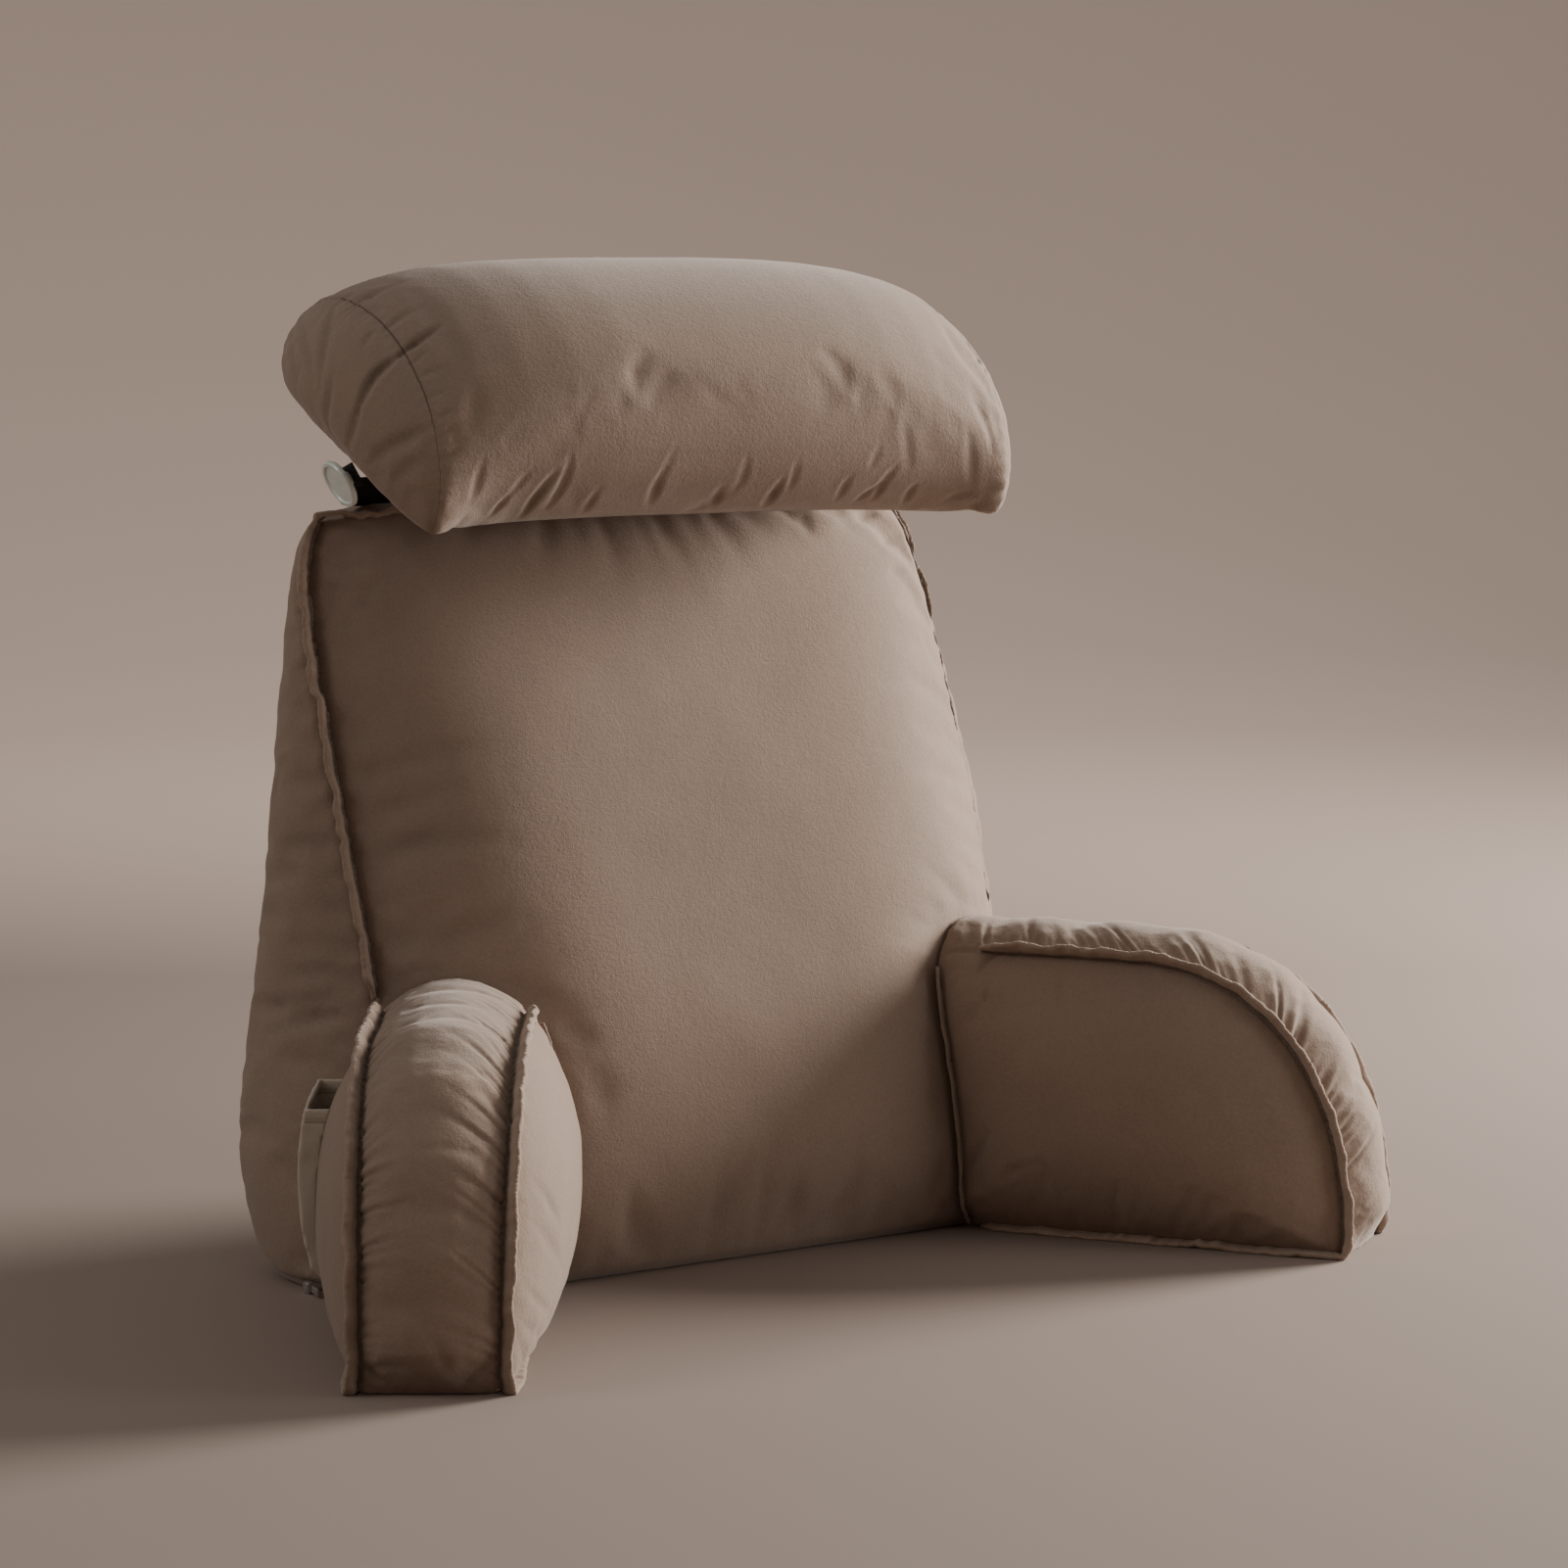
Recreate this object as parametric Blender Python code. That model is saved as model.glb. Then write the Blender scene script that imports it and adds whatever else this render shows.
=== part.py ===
"""Backrest pillow: a wedge back, two splayed arms and a headrest bolster, in one brushed cloth.

The pillow stands on its flat base at z = 0 and is used from the front, which faces -Y.
+X is the sitter's left.  The pieces are drawn about the middle of the seat's front edge, and
one empty then carries them so that the origin is the middle of the back cushion's base.
The back is lofted from level sections, each arm is a filled D between two seams, and the
bolster is lofted along its length.  Whatever presses on the back is cut to the back's own
surface, a hair's breadth away.  Folded seam flanges are ribbons that stand on the seams.
"""

import math

import bmesh
import bpy
from mathutils import Matrix, Vector
from mathutils.bvhtree import BVHTree

# Clearances, in metres
GAP = 0.0003
LOOSE_GAP = 0.0006
SEWN_GAP = 0.0009

# Middle of the back cushion's flat base, as drawn, which the empty brings to the origin
BASE_MIDDLE = (0.0, 0.1, 0.0)

# Fineness of curves, the angle above which an edge stays sharp, and a height above everything
CURVE_STEPS = 12
SHARP_ANGLE = 50.0
ABOVE_ALL = 1.0

# Back cushion: one row for each level, corners of the section and how far its sides swell
BACK_COLUMNS = ("z", "middle_x", "front_x", "front_y", "rear_x", "rear_y",
                "front_swell", "side_swell", "rear_swell")
BACK_LEVELS = (
    (0.000, 0.000, 0.254, 0.034, 0.298, 0.160, 0.010, 0.026, 0.010),
    (0.012, 0.000, 0.260, 0.026, 0.306, 0.174, 0.014, 0.026, 0.018),
    (0.060, 0.000, 0.263, 0.040, 0.308, 0.198, 0.034, 0.024, 0.030),
    (0.120, 0.002, 0.265, 0.060, 0.304, 0.213, 0.048, 0.020, 0.038),
    (0.200, 0.006, 0.265, 0.088, 0.294, 0.217, 0.058, 0.015, 0.040),
    (0.300, 0.006, 0.268, 0.120, 0.282, 0.217, 0.056, 0.012, 0.036),
    (0.380, 0.003, 0.267, 0.145, 0.270, 0.217, 0.048, 0.010, 0.030),
    (0.460, 0.000, 0.264, 0.170, 0.257, 0.219, 0.036, 0.007, 0.022),
    (0.505, 0.000, 0.257, 0.184, 0.243, 0.223, 0.024, 0.004, 0.014),
    (0.529, 0.000, 0.244, 0.191, 0.224, 0.226, 0.012, 0.001, 0.006),
)
BACK_TOP = 0.529
BACK_TOP_CROWN = 0.012
BACK_TOP_SHARES = (0.75, 0.4)
BACK_RING_COUNT = 24
BACK_LONG_STEPS = 22
BACK_SIDE_STEPS = 8
BACK_SWELL_POWER = 4.5
BACK_SIDE_POWER = 2.0

# Arms: a D of cloth on each face, with a gathered band between the two seams
ARM_COLUMNS = ("name", "side", "root_x", "root_y", "splay", "length", "height", "thickness", "lean")
ARM_ROWS = (
    ("left", -1, 0.184, 0.015, 33.0, 0.287, 0.196, 0.098, 0.002),
    ("right", 1, 0.194, 0.021, 33.0, 0.287, 0.206, 0.094, 0.004),
)
ARM_FOOT_NARROWING = 0.10
ARM_REAR = -0.034
ARM_OUTER_REACH = 0.016
ARM_REACH_LENGTH = 0.120
ARM_CURVE_START = 0.118
ARM_CURVE_POWER = 2.4
ARM_REAR_RADIUS = 0.030
ARM_REAR_STEPS = 6
ARM_BAND_CROWN = 0.019
ARM_BAND_POWER = 2.2
ARM_BAND_LIFT_HEIGHT = 0.030
ARM_INNER_SWELL = 0.044
ARM_OUTER_SWELL = 0.036
ARM_OUTLINE_COUNT = 64
ARM_FOOT_SHARE = 0.30
ARM_CURVE_STEPS = 40
ARM_BAND_STEPS = 6
ARM_PANEL_RADII = (0.97, 0.90, 0.78, 0.60, 0.38, 0.16)
ARM_SWELL_POWER = 2.6
ARM_SWELL_LEVEL = 0.41
ARM_GATHERS = 16
ARM_GATHER_DEPTH = 0.0016

# Headrest bolster: outlines of its end seam and of its middle, point for point
BOLSTER_COLUMNS = ("end_y", "end_z", "middle_y", "middle_z")
BOLSTER_OUTLINE = (
    (0.032, 0.517, 0.062, 0.532),
    (0.022, 0.536, 0.027, 0.545),
    (0.020, 0.562, 0.010, 0.574),
    (0.028, 0.594, 0.010, 0.610),
    (0.052, 0.628, 0.030, 0.649),
    (0.088, 0.656, 0.066, 0.681),
    (0.128, 0.673, 0.116, 0.700),
    (0.168, 0.680, 0.172, 0.702),
    (0.206, 0.673, 0.222, 0.686),
    (0.236, 0.652, 0.250, 0.655),
    (0.246, 0.632, 0.254, 0.618),
    (0.222, 0.612, 0.242, 0.580),
    (0.176, 0.586, 0.208, 0.545),
    (0.122, 0.561, 0.160, 0.531),
    (0.074, 0.538, 0.110, 0.529),
)
BOLSTER_MIDDLE_X = -0.006
BOLSTER_CORNERS = (0, 10)
BOLSTER_HALF_LENGTH = 0.237
BOLSTER_OUTLINE_COUNT = 48
BOLSTER_LENGTH_STEPS = 16
BOLSTER_FULLNESS = 4.0
BOLSTER_END_SWELLS = {-1: 0.036, 1: 0.030}
BOLSTER_END_RADII = (0.96, 0.86, 0.70, 0.48, 0.22)
BOLSTER_END_POWER = 2.4

# Folded seam flanges
FLANGE_WIDTH = 0.0085
FLANGE_THICKNESS = 0.0025
FLANGE_WAVE = 0.0012
FLANGE_WAVE_LENGTH = 0.034
SEAT_STEP = 0.0001
FOOT_RISE = FLANGE_THICKNESS / 2 + 0.0001
ARM_FLANGE_REAR = 0.012
ARM_FOOT_REAR_OUTER = 0.030
ARM_FLANGE_STEPS = 40
ARM_FOOT_STEPS = 12
ARM_FLANGE_LIFT_HEIGHT = 0.014
BACK_FLANGE_FOOT = 0.202
BACK_FLANGE_LEFT_FACING = (-0.75, -0.66, 0.0)
BACK_FLANGE_RIGHT_FACING = (1.0, 0.0, 0.0)
BACK_FLANGE_TOP_FACING = (0.0, -1.0, 0.05)
BACK_FLANGE_STEPS = 31

# Strip in the corner between each arm and the back, found by searching along the arm
JOIN_STRIP_WIDTH = 0.0075
JOIN_STRIP_WAVE = 0.0006
JOIN_STRIP_STEPS = 14
JOIN_STRIP_FOOT = 0.004
JOIN_STRIP_TOP = 0.94
CORNER_CLEARANCE = 0.0022
CORNER_SEARCH_START = 0.070
CORNER_SEARCH_STEP = 0.0005
CORNER_SEARCH_REACH = 0.300

# Pocket on the outer face of the arm at -X
POCKET_ARM = "left"
POCKET_REAR = 0.045
POCKET_FRONT = 0.150
POCKET_BOTTOM = 0.040
POCKET_MOUTH = 0.156
POCKET_STAND_OFF = 0.0190
POCKET_BOTTOM_STAND_OFF = 0.0090
POCKET_THICKNESS = 0.0020
POCKET_ROWS = 12
POCKET_COLUMNS = 9

# Elastic strap and button at each top corner
STRAP_WIDTH = 0.018
STRAP_THICKNESS = 0.0018
STRAP_STEPS = 16
STRAP_TWIST_START = 0.25
STRAP_TWIST_SHARE = 0.45
STRAP_ROUTE = (
    (0.162, 0.2055, None),
    (0.190, 0.2055, None),
    (0.216, 0.200, 0.5420),
    (0.2310, 0.176, 0.5500),
    (0.2376, 0.1456, 0.5558),
)
STRAP_END = (0.2376, 0.134)
STRAP_END_ACROSS = (-0.474, -0.090, -0.877)
BUTTON_CENTRE = (0.245, 0.146, 0.5515)
BUTTON_NORMAL = (0.877, 0.042, -0.478)
BUTTON_RADIUS = 0.0180
BUTTON_THICKNESS = 0.0030
BUTTON_RIM_WIDTH = 0.0030
BUTTON_RIM_RISE = 0.0012
BUTTON_EDGE = 0.0009
BUTTON_BOSS_RADIUS = 0.0055
BUTTON_BOSS_LENGTH = 0.0058
BUTTON_SEGMENTS = 24

# Zip slider with its pull, at the foot of the -X side
ZIP_Y = 0.095
ZIP_BODY = Vector((0.0055, 0.0090, 0.0075))
ZIP_BODY_BEVEL = 0.0012
ZIP_PULL_LENGTH = 0.0150
ZIP_PULL_WIDTH = 0.0050
ZIP_PULL_THICKNESS = 0.0014
ZIP_PULL_BEVEL = 0.0004
ZIP_PULL_SWING = -12.0

# Materials: colour, roughness, metallic
MATERIALS = {
    "brushed_cloth": ((0.235, 0.172, 0.132), 0.92, 0.0),
    "pocket_cloth": ((0.285, 0.225, 0.180), 0.85, 0.0),
    "black_elastic": ((0.010, 0.010, 0.012), 0.80, 0.0),
    "pearl_plastic": ((0.72, 0.74, 0.70), 0.25, 0.0),
    "zip_metal": ((0.62, 0.62, 0.60), 0.35, 1.0),
}


def clear_scene():
    for scene_object in list(bpy.data.objects):
        bpy.data.objects.remove(scene_object, do_unlink=True)


def material(name):
    found = bpy.data.materials.get(name)
    if found:
        return found
    colour, roughness, metallic = MATERIALS[name]
    made = bpy.data.materials.new(name)
    made.use_nodes = True
    shader = made.node_tree.nodes["Principled BSDF"]
    shader.inputs["Base Color"].default_value = (*colour, 1.0)
    shader.inputs["Roughness"].default_value = roughness
    shader.inputs["Metallic"].default_value = metallic
    made.diffuse_color = (*colour, 1.0)
    return made


def smooth_row(table, key_column, key):
    """Row of a table at a key between its rows, on a smooth curve through them."""
    keys = [row[key_column] for row in table]
    last = len(table) - 1
    index = max(0, min(last - 1, sum(1 for value in keys if value <= key) - 1))
    share = (key - keys[index]) / (keys[index + 1] - keys[index])
    blended = []
    for column in range(len(table[0])):
        start = table[index][column]
        end = table[index + 1][column]
        span = keys[index + 1] - keys[index]
        before = slope(table, key_column, column, index)
        after = slope(table, key_column, column, index + 1)
        blended.append(hermite(start, end, before * span, after * span, share))
    return blended


def slope(table, key_column, column, index):
    low = max(index - 1, 0)
    high = min(index + 1, len(table) - 1)
    rise = table[high][column] - table[low][column]
    return rise / (table[high][key_column] - table[low][key_column])


def hermite(start, end, start_slope, end_slope, share):
    square = share * share
    cube = square * share
    return (start * (2 * cube - 3 * square + 1) + start_slope * (cube - 2 * square + share)
            + end * (3 * square - 2 * cube) + end_slope * (cube - square))


def swell(share, power):
    """1 in the middle of a side and 0 at its ends."""
    return 1.0 - abs(2.0 * share - 1.0) ** power


def closed_curve(points, corners, count):
    """Evenly spaced points on a smooth closed curve, sharp only at the listed corner indices."""
    total = len(points)
    dense = []
    for index in range(total):
        start = points[index]
        end = points[(index + 1) % total]
        before = points[index - 1] if index not in corners else start
        after = points[(index + 2) % total] if (index + 1) % total not in corners else end
        for step in range(CURVE_STEPS):
            share = step / CURVE_STEPS
            dense.append(hermite(start, end, (end - before) / 2, (after - start) / 2, share))
    return resample(dense, count, closed=True)


def resample(points, count, closed):
    """Points at equal distances along a polyline."""
    line = list(points) + ([points[0]] if closed else [])
    lengths = [0.0]
    for start, end in zip(line, line[1:]):
        lengths.append(lengths[-1] + (end - start).length)
    spans = count if closed else count - 1
    result = []
    segment = 0
    for number in range(count):
        target = lengths[-1] * number / spans
        while segment < len(line) - 2 and lengths[segment + 1] < target:
            segment += 1
        run = lengths[segment + 1] - lengths[segment]
        share = (target - lengths[segment]) / run if run else 0.0
        result.append(line[segment].lerp(line[segment + 1], share))
    return result


def mesh_object(name, material_name, rings, start_centre=None, end_centre=None):
    """Closed solid through rings of equal counts, each end a fan to a centre or one flat face."""
    shape = bmesh.new()
    vertex_rings = [[shape.verts.new(point) for point in ring] for ring in rings]
    count = len(rings[0])
    for lower, upper in zip(vertex_rings, vertex_rings[1:]):
        for index in range(count):
            following = (index + 1) % count
            shape.faces.new((lower[index], lower[following], upper[following], upper[index]))
    for ring, centre in ((vertex_rings[0], start_centre), (vertex_rings[-1], end_centre)):
        if centre is None:
            shape.faces.new(ring)
            continue
        tip = shape.verts.new(centre)
        for index in range(count):
            shape.faces.new((ring[index], ring[(index + 1) % count], tip))
    return finish_object(name, material_name, shape)


def finish_object(name, material_name, shape):
    """Object of a shape, split into triangles so that every copy of it is cut alike."""
    bmesh.ops.recalc_face_normals(shape, faces=shape.faces)
    bmesh.ops.triangulate(shape, faces=shape.faces)
    mesh = bpy.data.meshes.new(name)
    shape.to_mesh(mesh)
    shape.free()
    mesh.shade_smooth()
    mesh.set_sharp_from_angle(angle=math.radians(SHARP_ANGLE))
    made = bpy.data.objects.new(name, mesh)
    bpy.context.scene.collection.objects.link(made)
    mesh.materials.append(material(material_name))
    return made


def surface_tree(scene_object):
    """Search tree of an object's finished mesh."""
    graph = bpy.context.evaluated_depsgraph_get()
    return BVHTree.FromObject(scene_object, graph)


def grown_copy(scene_object, distance):
    """Guide that is the object's finished shape, larger all round by a distance."""
    graph = bpy.context.evaluated_depsgraph_get()
    mesh = bpy.data.meshes.new_from_object(scene_object.evaluated_get(graph))
    normals = [vertex.normal.copy() for vertex in mesh.vertices]
    for vertex, normal in zip(mesh.vertices, normals):
        vertex.co += normal * distance
    guide = bpy.data.objects.new(scene_object.name + "_guide", mesh)
    bpy.context.scene.collection.objects.link(guide)
    guide.hide_render = True
    guide.display_type = "WIRE"
    return guide


def cut_by(scene_object, guide):
    cut = scene_object.modifiers.new("Cut to " + guide.name, "BOOLEAN")
    cut.operation = "DIFFERENCE"
    cut.solver = "EXACT"
    cut.object = guide


def back_section(z):
    """Corners and swells of the back at a height."""
    return dict(zip(BACK_COLUMNS, smooth_row(BACK_LEVELS, 0, z)))


def side_points(start, end, outward, depth, steps, power):
    """Points from one corner up to, but not at, the next, swelling outward between them."""
    return [start.lerp(end, step / steps) + outward * depth * swell(step / steps, power)
            for step in range(steps)]


def back_ring(z):
    section = back_section(z)
    middle = section["middle_x"]
    front_left = Vector((middle - section["front_x"], section["front_y"], z))
    front_right = Vector((middle + section["front_x"], section["front_y"], z))
    rear_right = Vector((middle + section["rear_x"], section["rear_y"], z))
    rear_left = Vector((middle - section["rear_x"], section["rear_y"], z))
    forward = Vector((0.0, -1.0, 0.0))
    sideways = Vector((1.0, 0.0, 0.0))
    long_shape = (BACK_LONG_STEPS, BACK_SWELL_POWER)
    side_shape = (BACK_SIDE_STEPS, BACK_SIDE_POWER)
    return (side_points(front_left, front_right, forward, section["front_swell"], *long_shape)
            + side_points(front_right, rear_right, sideways, section["side_swell"], *side_shape)
            + side_points(rear_right, rear_left, -forward, section["rear_swell"], *long_shape)
            + side_points(rear_left, front_left, -sideways, section["side_swell"], *side_shape))


def back_cushion():
    rim = BACK_LEVELS[1][0]
    rings = [back_ring(0.0), back_ring(rim / 2)]
    body_count = BACK_RING_COUNT - 2
    rings += [back_ring(rim + (BACK_TOP - rim) * index / (body_count - 1)) for index in range(body_count)]
    top = rings[-1]
    centre = sum(top, Vector()) / len(top)
    for share in BACK_TOP_SHARES:
        rise = Vector((0.0, 0.0, BACK_TOP_CROWN * (1.0 - share ** 2)))
        rings.append([centre.lerp(point, share) + rise for point in top])
    peak = centre + Vector((0.0, 0.0, BACK_TOP_CROWN))
    return mesh_object("back_cushion", "brushed_cloth", rings, end_centre=peak)


class ArmFrame:
    """Sizes and places of one arm: u runs forward along it, n outward across it and z up."""

    def __init__(self, row):
        sizes = dict(zip(ARM_COLUMNS, row))
        self.name = sizes["name"]
        self.length = sizes["length"]
        self.height = sizes["height"]
        self.thickness = sizes["thickness"]
        self.lean = sizes["lean"]
        side = sizes["side"]
        splay = math.radians(sizes["splay"])
        self.along = Vector((side * math.sin(splay), -math.cos(splay), 0.0))
        self.across = Vector((side * math.cos(splay), math.sin(splay), 0.0))
        self.root = Vector((side * sizes["root_x"], sizes["root_y"], 0.0))

    def place(self, u, n, z):
        middle = self.thickness / 2
        narrowing = 1.0 - ARM_FOOT_NARROWING * max(0.0, 1.0 - z / self.height)
        leaned = middle + (n - middle) * narrowing - self.lean * z / self.height
        rearness = max(0.0, 1.0 - (u - ARM_REAR) / ARM_REACH_LENGTH)
        reached = u - ARM_OUTER_REACH * rearness * max(0.0, min(1.0, n / self.thickness))
        return self.root + self.along * reached + self.across * leaned + Vector((0.0, 0.0, z))

    def outline(self):
        """The D of the seams as (u, z) points: foot, curved front, top, rear corner, rear."""
        points = [Vector((ARM_REAR, 0.0)), Vector((self.length, 0.0))]
        reach = self.length - ARM_CURVE_START
        for step in range(1, ARM_CURVE_STEPS):
            angle = math.pi / 2 * step / ARM_CURVE_STEPS
            points.append(Vector((ARM_CURVE_START + reach * math.cos(angle) ** (2 / ARM_CURVE_POWER),
                                  self.height * math.sin(angle) ** (2 / ARM_CURVE_POWER))))
        points.append(Vector((ARM_CURVE_START, self.height)))
        corner = Vector((ARM_REAR + ARM_REAR_RADIUS, self.height - ARM_REAR_RADIUS))
        for step in range(ARM_REAR_STEPS + 1):
            angle = math.pi / 2 * (1 + step / ARM_REAR_STEPS)
            points.append(corner + ARM_REAR_RADIUS * Vector((math.cos(angle), math.sin(angle))))
        return points

    def even_outline(self):
        """Evenly spaced outline points that keep the sharp foot corner at the front."""
        outline = self.outline()
        foot = int(ARM_OUTLINE_COUNT * ARM_FOOT_SHARE)
        front = resample(outline[:2], foot + 1, closed=False)
        rest = resample(outline[1:] + [outline[0]], ARM_OUTLINE_COUNT - foot + 1, closed=False)
        return front[:-1] + rest[:-1]


def outline_normals(points):
    """Outward direction at each point of an anticlockwise outline."""
    normals = []
    for index, point in enumerate(points):
        run = points[(index + 1) % len(points)] - points[index - 1]
        normals.append(Vector((run.y, -run.x)).normalized())
    return normals


def arm(frame):
    outline = frame.even_outline()
    normals = outline_normals(outline)
    centre = Vector(((ARM_REAR + frame.length) / 2, frame.height * ARM_SWELL_LEVEL))
    rings = []
    for radius in reversed(ARM_PANEL_RADII):
        depth = ARM_INNER_SWELL * (1.0 - radius ** ARM_SWELL_POWER)
        rings.append([frame.place(*flat_point(centre, point, radius, -depth)) for point in outline])
    for step in range(ARM_BAND_STEPS + 1):
        share = step / ARM_BAND_STEPS
        ring = []
        for index, (point, normal) in enumerate(zip(outline, normals)):
            lift = min(1.0, max(0.0, point.y / ARM_BAND_LIFT_HEIGHT))
            gather = math.sin(2 * math.pi * ARM_GATHERS * index / ARM_OUTLINE_COUNT)
            crown = (ARM_BAND_CROWN + ARM_GATHER_DEPTH * gather) * swell(share, ARM_BAND_POWER) * lift
            moved = point + normal * crown
            ring.append(frame.place(moved.x, frame.thickness * share, max(moved.y, 0.0)))
        rings.append(ring)
    for radius in ARM_PANEL_RADII:
        depth = frame.thickness + ARM_OUTER_SWELL * (1.0 - radius ** ARM_SWELL_POWER)
        rings.append([frame.place(*flat_point(centre, point, radius, depth)) for point in outline])
    inner_tip = frame.place(centre.x, -ARM_INNER_SWELL, centre.y)
    outer_tip = frame.place(centre.x, frame.thickness + ARM_OUTER_SWELL, centre.y)
    return mesh_object("arm_" + frame.name, "brushed_cloth", rings, start_centre=inner_tip,
                       end_centre=outer_tip)


def flat_point(centre, point, radius, depth):
    spot = centre.lerp(point, radius)
    return spot.x, depth, spot.y


def bolster():
    """Loft along X from one end seam to the other, with a swelling panel over each end."""
    outline = [dict(zip(BOLSTER_COLUMNS, row)) for row in BOLSTER_OUTLINE]
    end_points = [Vector((row["end_y"], row["end_z"])) for row in outline]
    middle_points = [Vector((row["middle_y"], row["middle_z"])) for row in outline]
    end_curve = closed_curve(end_points, BOLSTER_CORNERS, BOLSTER_OUTLINE_COUNT)
    middle_curve = closed_curve(middle_points, (), BOLSTER_OUTLINE_COUNT)
    end_centre = sum(end_curve, Vector((0.0, 0.0))) / len(end_curve)
    rings = []
    for radius in reversed(BOLSTER_END_RADII):
        rings.append(bolster_end_ring(end_curve, end_centre, radius, -1))
    for step in range(BOLSTER_LENGTH_STEPS + 1):
        angle = math.pi * step / BOLSTER_LENGTH_STEPS
        reach = -math.cos(angle)
        fullness = 1.0 - abs(reach) ** BOLSTER_FULLNESS
        x = BOLSTER_MIDDLE_X + BOLSTER_HALF_LENGTH * reach
        rings.append([Vector((x, *end.lerp(middle, fullness)))
                      for end, middle in zip(end_curve, middle_curve)])
    for radius in BOLSTER_END_RADII:
        rings.append(bolster_end_ring(end_curve, end_centre, radius, 1))
    tips = [bolster_end_ring([end_centre], end_centre, 0.0, side)[0] for side in (-1, 1)]
    return mesh_object("headrest_bolster", "brushed_cloth", rings, start_centre=tips[0], end_centre=tips[1])


def bolster_end_ring(curve, centre, radius, side):
    depth = BOLSTER_END_SWELLS[side] * (1.0 - radius ** BOLSTER_END_POWER)
    x = BOLSTER_MIDDLE_X + side * (BOLSTER_HALF_LENGTH + depth)
    return [Vector((x, *centre.lerp(point, radius))) for point in curve]


def is_clear(point, trees, gap=SEWN_GAP):
    """True where a point is outside every surface by a gap."""
    for tree in trees:
        spot, normal, _, distance = tree.find_nearest(point)
        if distance < gap or (point - spot).dot(normal) < 0.0:
            return False
    return True


def ribbon(name, path, outward, width, waves, trees):
    """Folded strip of cloth that stands on a path, rooted just clear of the given surfaces."""
    rings = []
    run = 0.0
    last = len(path) - 1
    for index, point in enumerate(path):
        along = (path[min(index + 1, last)] - path[max(index - 1, 0)]).normalized()
        stand = outward[index]
        half = along.cross(stand).normalized() * FLANGE_THICKNESS / 2
        if index:
            run += (point - path[index - 1]).length
        root = point.copy()
        while not (is_clear(root - half, trees) and is_clear(root + half, trees)):
            root += stand * SEAT_STEP
        sway = half.normalized() * waves[index] * math.sin(2 * math.pi * run / FLANGE_WAVE_LENGTH)
        tip = root + stand * width + sway
        rings.append([root - half, tip - half, tip + half, root + half])
    return mesh_object(name, "brushed_cloth", rings)


def arm_flange(frame, outer, trees):
    """Flange on one seam of an arm: along the foot, up the curved front and back over the top."""
    outline = frame.outline()
    rear = Vector((ARM_FLANGE_REAR, frame.height))
    foot_rear = Vector((ARM_FOOT_REAR_OUTER if outer else ARM_FLANGE_REAR, 0.0))
    seam = resample(outline[1:ARM_CURVE_STEPS + 2] + [rear], ARM_FLANGE_STEPS, closed=False)
    foot = resample([foot_rear, outline[1]], ARM_FOOT_STEPS, closed=False)
    points = foot[:-1] + seam
    depth = frame.thickness if outer else 0.0
    face = frame.across if outer else -frame.across
    path = []
    outward = []
    waves = []
    for index, point in enumerate(points):
        run = points[min(index + 1, len(points) - 1)] - points[max(index - 1, 0)]
        radial = (frame.along * run.y - Vector((0.0, 0.0, run.x))).normalized()
        lift = min(1.0, max(0.0, point.y / ARM_FLANGE_LIFT_HEIGHT))
        path.append(frame.place(point.x, depth, point.y) + Vector((0.0, 0.0, 1.0 - lift)) * FOOT_RISE)
        outward.append((face + radial * lift).normalized())
        waves.append(FLANGE_WAVE * lift)
    name = "flange_" + frame.name + ("_outer" if outer else "_inner")
    return ribbon(name, path, outward, FLANGE_WIDTH, waves, trees)


def back_seam_point(z, side):
    section = back_section(z)
    return Vector((section["middle_x"] + side * section["front_x"], section["front_y"], z))


def back_flange(trees):
    """Flange on the seam round the back's front panel, from one arm over the top to the other."""
    levels = [BACK_FLANGE_FOOT + (BACK_TOP - BACK_FLANGE_FOOT) * step / BACK_FLANGE_STEPS
              for step in range(BACK_FLANGE_STEPS + 1)]
    left = [back_seam_point(z, -1) for z in levels]
    right = [back_seam_point(z, 1) for z in reversed(levels)]
    top = [point.copy() for point in back_ring(BACK_TOP)[1:BACK_LONG_STEPS]]
    directions = ([BACK_FLANGE_LEFT_FACING] * len(left) + [BACK_FLANGE_TOP_FACING] * len(top)
                  + [BACK_FLANGE_RIGHT_FACING] * len(right))
    outward = [Vector(direction).normalized() for direction in directions]
    waves = [FLANGE_WAVE] * len(left) + [0.0] * len(top) + [FLANGE_WAVE] * len(right)
    return ribbon("back_flange", left + top + right, outward, FLANGE_WIDTH, waves, trees)


def join_strip(frame, arm_tree, back_tree):
    """Flange that stands in the corner where the arm's inner face meets the back's front."""
    path = []
    outward = []
    for step in range(JOIN_STRIP_STEPS + 1):
        z = JOIN_STRIP_FOOT + (JOIN_STRIP_TOP * frame.height - JOIN_STRIP_FOOT) * step / JOIN_STRIP_STEPS
        spot, arm_normal, back_normal = corner_at(frame, arm_tree, back_tree, z)
        bisector = arm_normal + back_normal
        path.append(spot)
        outward.append(Vector((bisector.x, bisector.y, 0.0)).normalized())
    waves = [JOIN_STRIP_WAVE] * len(path)
    return ribbon("join_strip_" + frame.name, path, outward, JOIN_STRIP_WIDTH, waves, (arm_tree, back_tree))


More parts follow.
